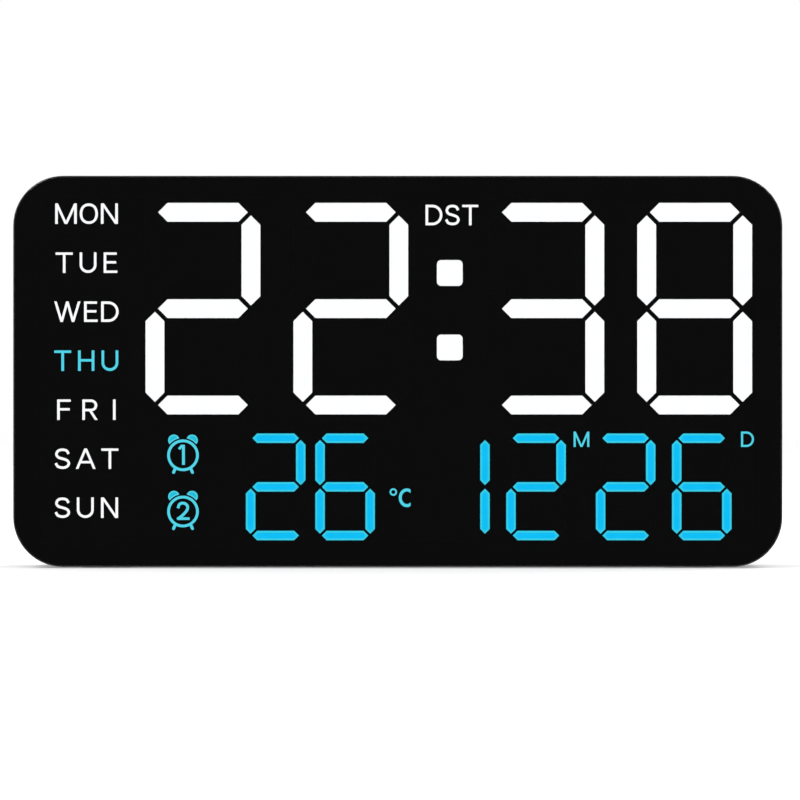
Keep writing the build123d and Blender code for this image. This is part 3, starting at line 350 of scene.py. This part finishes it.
for mat, names in looks.items():
    for name in names:
        nodes[name].data.materials.clear()
        nodes[name].data.materials.append(mat)


# Signs drawn with a pen: every stroke is cut into convex tiles, and the tiles are joined

SHARP_BEND = 0.97  # cosine of half the angle that a pen line turns by


def arc(cx, cy, rx, ry, start, end, count=17):
    """Points on an ellipse from one angle to another, in degrees."""
    t = np.radians(np.linspace(start, end, count))
    return np.stack([cx + rx * np.cos(t), cy + ry * np.sin(t)], axis=1)


def smooth(points, steps=7):
    """Curve through the points, each span a cubic that keeps the slope of its neighbours."""
    p = np.asarray(points, dtype=float)
    p = np.concatenate([2 * p[:1] - p[1:2], p, 2 * p[-1:] - p[-2:-1]])
    t = np.linspace(0.0, 1.0, steps, endpoint=False)[None, :, None]
    a, b, c, d = (p[i:len(p) - 3 + i, None, :] for i in range(4))
    curve = 0.5 * (2 * b + (c - a) * t + (2 * a - 5 * b + 4 * c - d) * t**2 + (3 * b - a - 3 * c + d) * t**3)
    return np.concatenate([curve.reshape(-1, 2), p[-2:-1]])


def disc(centre, radius, count=16):
    """Corners of a small round tile."""
    return arc(centre[0], centre[1], radius, radius, 0.0, 360.0, count + 1)[:-1]


def pen_tiles(points, pen, closed=False, flat=None):
    """Tiles of a pen line: one four-sided tile along each step and a round one at each end or sharp bend.

    flat makes the two ends flat instead, and gives how far each of them runs on past its point.
    """
    p = np.array(points, dtype=float)
    if flat:
        ways = p[[0, -1]] - p[[1, -2]]
        p[[0, -1]] += ways / np.linalg.norm(ways, axis=1, keepdims=True) * np.array(flat)[:, None]
    q = np.concatenate([p, p[:1]]) if closed else p
    step = np.diff(q, axis=0)
    step /= np.linalg.norm(step, axis=1, keepdims=True)
    before = np.concatenate([step[-1:] if closed else step[:1], step])
    after = np.concatenate([step, step[:1] if closed else step[-1:]])
    mean = before + after
    mean /= np.linalg.norm(mean, axis=1, keepdims=True)
    turn = np.sum(mean * after, axis=1)
    sharp = turn < SHARP_BEND
    side = np.stack([-mean[:, 1], mean[:, 0]], axis=1) * (pen / 2) / turn[:, None]
    square = np.stack([-step[:, 1], step[:, 0]], axis=1) * pen / 2
    start = np.where(sharp[:-1, None], square, side[:-1])
    end = np.where(sharp[1:, None], square, side[1:])
    tiles = list(np.stack([q[:-1] + start, q[:-1] - start, q[1:] - end, q[1:] + end], axis=1))
    ends = [] if closed or flat else [q[0], q[-1]]
    return tiles + [disc(c, pen / 2) for c in ends + list(q[1:-1][sharp[1:-1]])]


def joined(tiles):
    """Triangles that cover all the tiles once: their corners and their corner numbers."""
    sizes = [len(t) for t in tiles]
    corners = np.concatenate(tiles)
    starts = np.concatenate([[0], np.cumsum(sizes)[:-1]])
    loops = [list(range(s, s + n)) for s, n in zip(starts.tolist(), sizes)]
    points = [Vector(c) for c in corners.tolist()]
    only_inside, near = 1, 1e-5
    flat, _, faces, _, _, owners = delaunay_2d_cdt(points, [], loops, only_inside, near)
    kept = [f for f, owner in zip(faces, owners) if owner]
    return np.array([v[:] for v in flat]), np.array(kept, dtype=int)


def plate_from(tiles, place, thick, back=False):
    """Closed thin plate of the joined tiles: front and back sheets and a wall along every free edge.

    place is x and z of the drawing's origin in millimetres from the panel's centre, and back turns
    the drawing so that it reads from behind. thick is the y of the two sheets, the seen one first.
    """
    flat, tri = joined(tiles)
    edge = np.concatenate([tri[:, [0, 1]], tri[:, [1, 2]], tri[:, [2, 0]]])
    key = np.sort(edge, axis=1)
    _, first, count = np.unique(key, axis=0, return_index=True, return_counts=True)
    rim = edge[first[count == 1]]
    n = len(flat)
    x = (place[0] + flat[:, 0] * (-1 if back else 1)) * MM
    z = PANEL_Z + (place[1] + flat[:, 1]) * MM
    sheets = [np.stack([x, np.full(n, y), z], axis=1) for y in thick]
    wall = np.stack([rim[:, 1], rim[:, 0], rim[:, 0] + n, rim[:, 1] + n], axis=1)
    return np.concatenate(sheets), [tri, tri[:, ::-1] + n, wall]


def add_piece(name, parts, mat, body):
    """One mesh of several closed parts, with its material, riding on a body.

    A part is its corners and its faces, and faces with the same number of corners share an array.
    """
    verts, faces, shift = [], [], 0
    for corners, groups in parts:
        verts.append(corners)
        for group in groups:
            faces += (group + shift).tolist()
        shift += len(corners)
    mesh = bpy.data.meshes.new(name)
    mesh.from_pydata(np.concatenate(verts).tolist(), [], faces)
    mesh.materials.append(mat)
    obj = bpy.data.objects.new(name, mesh)
    bpy.context.scene.collection.objects.link(obj)
    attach(obj, body)


def cut_to(tile, low, high):
    """The part of a convex tile inside a box.

    Each side of the box keeps the corners within it and adds the points where the tile's edges cross it.
    """
    same_point = 1e-4
    for axis in (0, 1):
        for side, limit in ((-1.0, low[axis]), (1.0, high[axis])):
            past = side * (tile[:, axis] - limit)
            inside = past <= 0.0
            crossed = inside != np.roll(inside, -1)
            share = past / np.where(crossed, past - np.roll(past, -1), 1.0)
            met = tile + share[:, None] * (np.roll(tile, -1, axis=0) - tile)
            tile = np.stack([tile, met], axis=1)[np.stack([inside, crossed], axis=1)]
    apart = np.linalg.norm(tile - np.roll(tile, 1, axis=0), axis=1) > same_point
    return tile[apart]


# Letterforms: centre lines in a box one wide and one high, as straight strokes of two points or as curves
LETTERS = {
    "A": [[(0, 0), (0.5, 1)], [(1, 0), (0.5, 1)], [(0.18, 0.31), (0.82, 0.31)]],
    "C": [arc(0.76, 0.5, 0.76, 0.5, 46, 314, 33)],
    "D": [[(0, 0), (0, 1)], np.concatenate([[(0, 1)], arc(0.40, 0.5, 0.60, 0.5, 90, -90, 21), [(0, 0)]])],
    "E": [[(0, 0), (0, 1)], [(0, 1), (0.95, 1)], [(0, 0.52), (0.91, 0.52)], [(0, 0), (1, 0)]],
    "F": [[(0, 0), (0, 1)], [(0, 1), (1, 1)], [(0, 0.52), (0.93, 0.52)]],
    "H": [[(0, 0), (0, 1)], [(1, 0), (1, 1)], [(0, 0.52), (1, 0.52)]],
    "I": [[(0.5, 0), (0.5, 1)]],
    "M": [[(0, 0), (0, 1)], [(0, 1), (0.5, 0)], [(0.5, 0), (1, 1)], [(1, 1), (1, 0)]],
    "N": [[(0, 0), (0, 1)], [(0, 1), (1, 0)], [(1, 0), (1, 1)]],
    "R": [[(0, 0), (0, 1)], np.concatenate([[(0, 1)], arc(0.58, 0.74, 0.38, 0.26, 90, -90, 15), [(0, 0.48)]]),
          [(0.48, 0.48), (1, 0)]],
    "S": [smooth([(0.92, 0.83), (0.80, 0.95), (0.50, 1.0), (0.18, 0.94), (0.04, 0.75), (0.18, 0.58),
                  (0.50, 0.50), (0.84, 0.41), (0.99, 0.24), (0.84, 0.06), (0.50, 0.0), (0.16, 0.06),
                  (0.03, 0.19)])],
    "T": [[(0, 1), (1, 1)], [(0.5, 1), (0.5, 0)]],
    "U": [np.concatenate([[(0, 1)], arc(0.5, 0.38, 0.5, 0.38, 180, 360, 21), [(1, 1)]])],
    "W": [[(0, 1), (0.26, 0)], [(0.26, 0), (0.5, 1)], [(0.5, 1), (0.74, 0)], [(0.74, 0), (1, 1)]],
    "1": [[(1, 0), (1, 1)], [(-0.35, 0.78), (1, 1)]],
    "2": [smooth([(0.03, 0.76), (0.12, 0.91), (0.36, 1.0), (0.66, 0.98), (0.89, 0.85), (0.94, 0.68),
                  (0.80, 0.47), (0.45, 0.22), (0.04, 0.0)]), [(0.04, 0), (1, 0)]],
    "O": [None],
}
FULLER = 0.9  # power that makes the ring of the O a little fuller than an ellipse
# Width of upright, slanting and level strokes as shares of the pen
UPRIGHT_PEN, SLANTING_PEN, LEVEL_PEN = 1.03, 0.95, 0.94
# Left and right edge of each letter, in millimetres from the panel's centre
WEEK = {
    "MON": ((-91.36, -85.61), (-84.81, -79.98), (-79.17, -74.65)),
    "TUE": ((-91.24, -86.69), (-84.84, -80.36), (-78.43, -74.79)),
    "WED": ((-91.63, -84.63), (-83.66, -80.05), (-79.11, -74.45)),
    "THU": ((-91.63, -87.11), (-85.27, -80.91), (-79.01, -74.54)),
    "FRI": ((-90.84, -87.24), (-84.12, -80.02), (-76.11, -75.10)),
    "SAT": ((-91.51, -87.35), (-85.88, -80.58), (-79.06, -74.50)),
    "SUN": ((-91.50, -87.35), (-85.59, -81.08), (-79.15, -74.60)),
}
SUMMER_TIME = {"DST": ((7.41, 11.90), (12.62, 16.54), (17.21, 21.48))}


def letter_tiles(sign, left, low, wide, high, pen):
    """Tiles of one letter whose inked box has its lower left corner at left, low.

    Curves keep half a pen inside the box, and level strokes do so in height. Upright and slanting
    strokes reach from line to line, and half their level width is kept inside the box's sides. All
    ends are flat, and the box cuts off what runs past it.
    """
    corner, size = np.array([left, low]), np.array([wide, high])
    inner = np.maximum(size - pen, 0.0)
    tiles = []
    for line in LETTERS[sign]:
        if line is None:
            way = disc((0.0, 0.0), 1.0, 36)
            ring = 0.5 + 0.5 * np.sign(way) * np.abs(way) ** FULLER
            tiles += pen_tiles(corner + pen / 2 + inner * ring, pen, closed=True)
            continue
        p = np.asarray(line, dtype=float)
        if len(p) > 2:
            tiles += pen_tiles(corner + pen / 2 + inner * p, pen, flat=(pen / 2, pen / 2))
        elif p[0, 1] == p[1, 1]:
            level = pen * LEVEL_PEN
            y = low + level / 2 + (high - level) * p[:, 1]
            tiles += pen_tiles(np.stack([left + wide * p[:, 0], y], axis=1), level, flat=(0.0, 0.0))
        else:
            run = inner[0] * (p[1, 0] - p[0, 0]) / (high * (p[1, 1] - p[0, 1]))
            upright = pen * (SLANTING_PEN if run else UPRIGHT_PEN)
            half = min(upright / 2 * np.hypot(1.0, run), wide / 2)
            x = left + half + (wide - 2 * half) * p[:, 0]
            on_line = (p[:, 1] == 0) | (p[:, 1] == 1)
            ends = np.where(on_line, pen, 0.0).tolist()
            tiles += pen_tiles(np.stack([x, low + high * p[:, 1]], axis=1), upright, flat=ends)
    cut = [cut_to(tile, corner, corner + size) for tile in tiles]
    return [tile for tile in cut if len(tile) > 2]


def word_tiles(word, spans, low, high, pen):
    """Tiles of a word whose letters stand between the edges that spans gives."""
    tiles = []
    for sign, (left, right) in zip(word, spans):
        tiles += letter_tiles(sign, left, low, right - left, high, pen)
    return tiles


# Sheets of the print on the film and of the bell cores on top of it
FRONT_PRINT = (FILM_Y - PRINT_T, FILM_Y - PRINT_T / 6)
CORE_PRINT = (FILM_Y - PRINT_T * 4 / 3, FILM_Y - PRINT_T * 5 / 6)
# Words: height of the letters, pens of a plain and of the marked day, and where the rows stand
CAP = 5.46
PEN, MARKED_PEN = 0.672, 0.705
first_row, row_pitch, summer_time_row = 39.36, 13.07, 39.00
for i, (word, spans) in enumerate(WEEK.items()):
    marked = word == "THU"
    tiles = word_tiles(word, spans, first_row - i * row_pitch, CAP, MARKED_PEN if marked else PEN)
    part = plate_from(tiles, (0, 0), FRONT_PRINT)
    light, slot = (cyan_light, "lit_blue") if marked else (white_light, "lit_white")
    add_piece(f"weekday_{word.lower()}", [part], light, "case")

for word, spans in SUMMER_TIME.items():
    tiles = word_tiles(word, spans, summer_time_row, CAP, PEN)
    add_piece("summer_time_word", [plate_from(tiles, (0, 0), FRONT_PRINT)], white_light, "case")

degree_pen, celsius_pen, date_pen = 0.46, 0.79, 0.54
blue_signs = {
    "unit_sign": pen_tiles(disc((-1.19, -32.15), 0.77, 28), degree_pen, closed=True)
    + letter_tiles("C", 0.27, -36.17, 3.13, 4.98, celsius_pen),
    "month_letter": letter_tiles("M", 46.90, -20.13, 4.18, 4.09, date_pen),
    "day_letter": letter_tiles("D", 91.55, -20.12, 3.43, 4.10, date_pen),
}
for name, tiles in blue_signs.items():
    add_piece(name, [plate_from(tiles, (0, 0), FRONT_PRINT)], cyan_light, "case")


# Alarm sign: ring of the clock, bells above it, feet and numbers, about the ring's centre
RING_R, RING_PEN = 3.86, 0.72
BELL_R, BELL_CLEAR, BELL_PLACE, BELL_EDGE = 1.52, 4.62, (2.43, 4.0), 0.35
FOOT_TOP, FOOT_END, FOOT_PEN = (2.00, -3.4), (2.52, -4.56), 0.78
NUMBER_BOXES = {"1": (-1.37, -2.55, 1.87, 5.36, 0.74), "2": (-1.68, -2.25, 3.45, 4.85, 0.74)}


def bell_outline(side, inset=0.0):
    """Half-moon: the part of a small disc that lies outside a circle drawn around the clock's ring.

    The two circles cross at the angle bend, seen from the disc's centre, and at the angle spread, seen
    from the ring's. The outline is the disc's outer arc and then the ring circle's arc back.
    """
    radius, keep = BELL_R - inset, BELL_CLEAR + inset
    x, y = side * -BELL_PLACE[0], BELL_PLACE[1]
    far, heading = np.hypot(x, y), np.degrees(np.arctan2(y, x))
    bend = np.degrees(np.arccos((keep**2 - far**2 - radius**2) / (2 * far * radius)))
    spread = np.degrees(np.arccos((far**2 + keep**2 - radius**2) / (2 * far * keep)))
    rim = arc(x, y, radius, radius, heading - bend, heading + bend, 41)
    back = arc(0, 0, keep, keep, heading + spread, heading - spread, 15)
    return np.concatenate([rim, back[1:-1]])


def alarm_sign(numeral):
    """Tiles of an alarm clock seen from the front: ring, two bells, two feet and its number."""
    tiles = pen_tiles(disc((0, 0), RING_R, 48), RING_PEN, closed=True)
    tiles += [bell_outline(1), bell_outline(-1)]
    for side in (-1, 1):
        foot = np.array([FOOT_TOP, FOOT_END]) * (side, 1)
        tiles += pen_tiles(foot, FOOT_PEN)
    return tiles + letter_tiles(numeral, *NUMBER_BOXES[numeral])


def flat_rings(outer, inner, thick):
    """Closed flat rings, each between two loops with the same number of corners: two sheets and two walls.

    outer and inner hold x and z of the loops in metres, and run against the clock as seen from the
    front. thick is the y of the two sheets, the seen one first.
    """
    around = outer.shape[-2]
    flat = np.concatenate([outer.reshape(-1, 2), inner.reshape(-1, 2)])
    sheets = [np.insert(flat, 1, y, axis=1) for y in thick]
    deep = len(flat)
    count = deep // 2
    here = np.arange(count)
    following = here - here % around + (here + 1) % around
    front = np.stack([here, following, following + count, here + count], axis=1)
    outside = np.stack([following, here, here + deep, following + deep], axis=1)
    inside = np.stack([here, following, following + deep, here + deep], axis=1) + count
    return np.concatenate(sheets), [front, front[:, ::-1] + deep, outside, inside]


# Small figures: width and half height between bar centres, bar width, gap at a bar's tip and height of
# the row, and the width of the paler rim
CELL_W, HALF_H, BAR_T, TIP_GAP, ROW_Z = 13.36, 12.98, 2.40, 0.57, -30.78
EDGE = 0.42
# Place of each bar in a figure, as shares of its width and half its height, and whether it is upright
BAR_SPOTS = {"a": (0, 1, 0), "b": (0.5, 0.5, 1), "c": (0.5, -0.5, 1), "d": (0, -1, 0),
             "e": (-0.5, -0.5, 1), "f": (-0.5, 0.5, 1), "g": (0, 0, 0)}
# Centre of each small figure and its lit bars
LIT_FIGURES = {"temperature": [(-32.57, "abdeg"), (-14.05, "acdefg")],
               "month": [(16.58, "bc"), (36.88, "abdeg")],
               "day": [(60.79, "abdeg"), (81.09, "acdefg")]}


def bar_edges(figures):
    """Flat rims along the edges of lit bars, where the light leaks paler around each window.

    Every bar is a flat six-sided ring: its outline has 45 degree points, and the inner line lies
    EDGE inside it. figures are pairs of a figure's centre x and the places of its lit bars.
    """
    bars = [(x, *BAR_SPOTS[name]) for x, names in figures for name in names]
    x, across, up, upright = np.array(bars).T[:, :, None]
    x = x + across * CELL_W
    z = ROW_Z + up * HALF_H
    length = np.where(upright, HALF_H, CELL_W) - 2 * TIP_GAP
    rings = []
    for inset in (0.0, EDGE):
        end = length / 2 - inset * np.sqrt(2)
        half = np.full_like(end, BAR_T / 2 - inset)
        zero = np.zeros_like(end)
        along = np.concatenate([end, end - half, half - end, -end, half - end, end - half], axis=1)
        aside = np.concatenate([zero, half, half, zero, -half, -half], axis=1)
        ring_x = x + np.where(upright, -aside, along)
        ring_z = z + np.where(upright, along, aside)
        rings.append(np.stack([ring_x * MM, PANEL_Z + ring_z * MM], axis=-1))
    return flat_rings(*rings, FRONT_PRINT)


for name, figures in LIT_FIGURES.items():
    add_piece(f"{name}_bar_edges", [bar_edges(figures)], edge_light, "case")

alarm_x, alarm_z, alarm_pitch = -57.28, -22.35, 15.00
for i, numeral in enumerate("12"):
    place = (alarm_x, alarm_z - i * alarm_pitch)
    part = plate_from(alarm_sign(numeral), place, FRONT_PRINT)
    add_piece(f"alarm_sign_{numeral}", [part], cyan_light, "case")
    cores = plate_from([bell_outline(1, BELL_EDGE), bell_outline(-1, BELL_EDGE)], place, CORE_PRINT)
    add_piece(f"alarm_bell_cores_{numeral}", [cores], bell_light, "case")


# Black ink border in the back of the lens, from near its rim to just inside the edge of the mask film

def rounded_loop(half_w, half_h, radius, steps=13):
    """Corners of a rounded rectangle about the panel's centre, given in millimetres.

    Four quarter circles follow each other against the clock, as seen from the front.
    """
    turn = np.radians(np.linspace(0.0, 90.0, steps)[None, :] + np.arange(4)[:, None] * 90.0)
    side = np.array([(1, 1), (-1, 1), (-1, -1), (1, -1)])
    x = side[:, :1] * (half_w - radius) + radius * np.cos(turn)
    z = side[:, 1:] * (half_h - radius) + radius * np.sin(turn)
    return np.stack([x * MM, PANEL_Z + z * MM], axis=-1).reshape(-1, 2)


film_half = ((film_high[0] - film_low[0]) / 2 / MM, (film_high[2] - film_low[2]) / 2 / MM)
lens_half = (lens_high[0] / MM, (lens_high[2] - lens_low[2]) / 2 / MM)
from_rim, outer_corner = 0.50, 12.85
over_film, inner_corner = 0.80, 4.20
outer_loop = rounded_loop(lens_half[0] - from_rim, lens_half[1] - from_rim, outer_corner)
inner_loop = rounded_loop(film_half[0] - over_film, film_half[1] - over_film, inner_corner)
border = flat_rings(outer_loop, inner_loop, (lens_high[1] - PRINT_T / 5, lens_high[1] - PRINT_T / 15))
add_piece("lens_border_print", [border], ink_black, "case")


# Signs on the rear keys, the battery door and the cell, drawn to read from behind

def key_signs():
    """Tiles of the five key signs in millimetres about each key's centre."""
    sun_pen, ray_pen, gear_pen, tooth_pen, bell_pen, arrow_pen = 0.34, 0.30, 0.42, 0.46, 0.34, 0.40
    rays = disc((0, 0), 1.0, 8)
    sun = pen_tiles(disc((0, 0), 0.72, 20), sun_pen, closed=True)
    gear = pen_tiles(disc((0, 0), 0.85, 24), gear_pen, closed=True)
    for ray in rays:
        sun += pen_tiles([ray * 1.18, ray * 1.62], ray_pen)
        gear += pen_tiles([ray * 1.05, ray * 1.48], tooth_pen)
    dome = smooth([(-1.25, -0.85), (-0.92, -0.35), (-0.80, 0.45), (-0.45, 1.12), (0, 1.30), (0.45, 1.12),
                   (0.80, 0.45), (0.92, -0.35), (1.25, -0.85)])
    clapper = disc((0, -1.42), 0.30)
    bell = pen_tiles(dome, bell_pen) + pen_tiles(dome[[0, -1]], bell_pen) + [clapper]
    arrow = np.array([(-1.35, -0.65), (0, 0.75), (1.35, -0.65)])
    up = pen_tiles(arrow, arrow_pen)
    down = pen_tiles(arrow * (1, -1), arrow_pen)
    return {"set": gear, "up": up, "down": down, "alarm": bell, "light": sun}


def ring_with_plus(radius, count, ring_pen, arm, arm_pen=0.6):
    """Tiles of a ring with a plus sign in its middle, in millimetres."""
    tiles = pen_tiles(disc((0, 0), radius, count), ring_pen, closed=True)
    return tiles + pen_tiles([(-arm, 0), (arm, 0)], arm_pen) + pen_tiles([(0, -arm), (0, arm)], arm_pen)


def print_on_rear(name, tiles, box, mat, body, aside=0.0):
    """Puts a sign on the rear face of a box, about its centre or so many millimetres to one side."""
    low, high = box
    place = ((low[0] + high[0]) / 2 / MM + aside, ((low[2] + high[2]) / 2 - PANEL_Z) / MM)
    part = plate_from(tiles, place, (high[1] + PRINT_T, high[1] - PRINT_T / 6), back=True)
    add_piece(name, [part], mat, body)


for key, tiles in key_signs().items():
    print_on_rear(f"{key}_key_sign", tiles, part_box(f"{key}_button"), print_grey, f"{key}_key")

door_sign = ring_with_plus(4.2, 40, 0.55, 1.7)
print_on_rear("cell_sign", door_sign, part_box("battery_door"), print_grey, "battery_door", aside=4.0)
face_sign = ring_with_plus(8.2, 72, 0.25, 1.6)
print_on_rear("cell_face_sign", face_sign, (cell_low, cell_high), etched_steel, "case")


def blocks(lows, highs):
    """Closed blocks between rows of low and high corners: corner k takes high where its bits are set."""
    bits = np.arange(8)[:, None] >> np.arange(3) & 1
    verts = lows[:, None, :] + bits[None] * (highs - lows)[:, None, :]
    quads = np.array([(0, 4, 6, 2), (1, 3, 7, 5), (0, 1, 5, 4), (2, 6, 7, 3), (0, 2, 3, 1), (4, 5, 7, 6)])
    faces = quads[None] + 8 * np.arange(len(lows))[:, None, None]
    return verts.reshape(-1, 3), [faces.reshape(-1, 4)]


def tongue_contacts(count=12, pitch=0.0005, wide=0.00026, long=0.0028, thick=0.00002):
    """Rows of flat contacts on both faces of the socket's tongue, from near its edge inwards."""
    low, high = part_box("socket_tongue")
    x = (low[0] + high[0]) / 2 + (np.arange(count) - (count - 1) / 2) * pitch
    x = np.concatenate([x, x])
    z = np.repeat([low[2] - thick, high[2] - thick / 6], count)
    lows = np.stack([x - wide / 2, np.full(2 * count, high[1] - long - pitch), z], axis=1)
    return blocks(lows, lows + np.array([wide, long, thick * 7 / 6]))


add_piece("socket_contacts", [tongue_contacts()], gilt, "case")


def grip_rib(radius, spread=42.0, wide=0.9, rise=0.14, steps=49, around=16):
    """Raised rib on the leg: an arc about the finger notch carrying a section whose top is half an ellipse.

    radius, wide and rise are in millimetres and spread in degrees. The section is a closed loop, flat
    below, and shrinks towards both ends of the arc.
    """
    least, sunk = 0.2, 0.2
    s = np.linspace(-1.0, 1.0, steps)[:, None]
    turn = np.radians(90.0 + spread * s)
    loop = np.arange(around)[None, :] * 2 * np.pi / around
    size = least + (1.0 - least) * np.sqrt(1.0 - np.abs(s) ** 6)
    reach = radius + wide / 2 * size * np.cos(loop)
    lift = rise * size * np.maximum(np.sin(loop), -sunk)
    x = (leg_low[0] + leg_high[0]) / 2 + reach * np.cos(turn) * MM
    z = leg_low[2] + reach * np.sin(turn) * MM
    verts = np.stack([x, leg_high[1] + lift * MM, z], axis=-1).reshape(-1, 3)
    row = np.arange(steps - 1)[:, None] * around
    here = np.arange(around)[None, :]
    following = (here + 1) % around
    quads = np.stack([row + here, row + following, row + around + following, row + around + here], axis=-1)
    ends = np.stack([here[0, ::-1], here[0] + (steps - 1) * around])
    return verts, [quads.reshape(-1, 4), ends]


add_piece("leg_grip_ribs", [grip_rib(10.7), grip_rib(12.4)], leg_black, "stand")


# Stage: floor, soft lamps, world and camera

FLOOR_R, FLOOR_DROP, FLOOR_LIFT = 4.0, 0.00002, 0.26


def make_floor():
    """Pale round floor under the clock, a little brighter to the eye so that it reads white."""
    ring = np.insert(disc((0.0, 0.0), FLOOR_R, 90), 2, -FLOOR_DROP, axis=1)
    mesh = bpy.data.meshes.new("floor")
    mesh.from_pydata(ring.tolist(), [], [list(range(len(ring)))])
    mat, tree, shader = new_material("floor_paint")
    tree.nodes.remove(shader)
    paint = tree.nodes.new("ShaderNodeBsdfDiffuse")
    colour_between(tree, noise_on_object(tree, 6.0), grey(0.90), grey(0.91), paint.inputs["Color"])
    glow = tree.nodes.new("ShaderNodeEmission")
    path = tree.nodes.new("ShaderNodeLightPath")
    lift = maths(tree, "MULTIPLY", path.outputs["Is Camera Ray"], FLOOR_LIFT)
    tree.links.new(lift, glow.inputs["Strength"])
    both = tree.nodes.new("ShaderNodeAddShader")
    tree.links.new(paint.outputs["BSDF"], both.inputs[0])
    tree.links.new(glow.outputs["Emission"], both.inputs[1])
    tree.links.new(both.outputs["Shader"], tree.nodes["Material Output"].inputs["Surface"])
    mesh.materials.append(mat)
    floor = bpy.data.objects.new("floor", mesh)
    bpy.context.scene.collection.objects.link(floor)
    floor.visible_glossy = False
    floor.visible_transmission = False


def add_lamp(name, place, aim, size, power):
    """Square soft lamp that looks at a point."""
    data = bpy.data.lights.new(name, "AREA")
    data.size = size
    data.energy = power
    lamp = bpy.data.objects.new(name, data)
    lamp.location = place
    lamp.rotation_euler = (Vector(aim) - Vector(place)).to_track_quat("-Z", "Y").to_euler()
    bpy.context.scene.collection.objects.link(lamp)


def make_world():
    """Soft white room: white to the eye, an even light on the object, and dim in front for mirrors.

    What mirrors and glass see goes by the direction's y: the dim level up to dim_from, which points
    almost straight to the front, then a smooth rise to the side level at dim_to.
    """
    room_level, seen_level, dim_level, side_level = 0.80, 1.0, 0.07, 0.9
    dim_from, dim_to = -0.985, -0.45
    world = bpy.data.worlds.new("studio")
    bpy.context.scene.world = world
    world.use_nodes = True
    tree = world.node_tree
    back = tree.nodes["Background"]
    path = tree.nodes.new("ShaderNodeLightPath")
    place = tree.nodes.new("ShaderNodeTexCoord")
    axes = tree.nodes.new("ShaderNodeSeparateXYZ")
    tree.links.new(place.outputs["Generated"], axes.inputs["Vector"])
    front = tree.nodes.new("ShaderNodeMapRange")
    front.interpolation_type = "SMOOTHSTEP"
    front.inputs["From Min"].default_value = dim_from
    front.inputs["From Max"].default_value = dim_to
    front.inputs["To Min"].default_value = dim_level
    front.inputs["To Max"].default_value = side_level
    tree.links.new(axes.outputs["Y"], front.inputs["Value"])
    level = room_level
    dim = front.outputs["Result"]
    for ray, value in (("Is Glossy Ray", dim), ("Is Transmission Ray", dim), ("Is Camera Ray", seen_level)):
        mix = tree.nodes.new("ShaderNodeMix")
        mix.data_type = "FLOAT"
        tree.links.new(path.outputs[ray], mix.inputs["Factor"])
        for socket, source in (("A", level), ("B", value)):
            if isinstance(source, float):
                mix.inputs[socket].default_value = source
            else:
                tree.links.new(source, mix.inputs[socket])
        level = mix.outputs["Result"]
    tree.links.new(level, back.inputs["Strength"])
    back.inputs["Color"].default_value = (1.0, 1.0, 1.0, 1.0)


make_floor()
make_world()
lamp_aim, lamp_size, lamp_power = (0, 0, 0.05), 0.7, 6.0
add_lamp("key_lamp", (-0.8, -0.6, 1.2), lamp_aim, lamp_size, lamp_power)
add_lamp("rear_lamp", (0.8, 0.7, 1.1), lamp_aim, lamp_size, lamp_power)

scene = bpy.context.scene
scene.view_settings.view_transform = "Standard"
camera_data = bpy.data.cameras.new("camera")
camera = bpy.data.objects.new("camera", camera_data)
scene.collection.objects.link(camera)
# The camera stands in front of the lens and takes in a field somewhat wider than the clock
reach, field, aside, below = 1.2, 0.21311, 0.000595, 0.00761
camera.location = (aside, lens_low[1] - reach, PANEL_Z - below)
camera.rotation_euler = (np.pi / 2, 0.0, 0.0)
camera_data.lens = camera_data.sensor_width * reach / field
scene.camera = camera
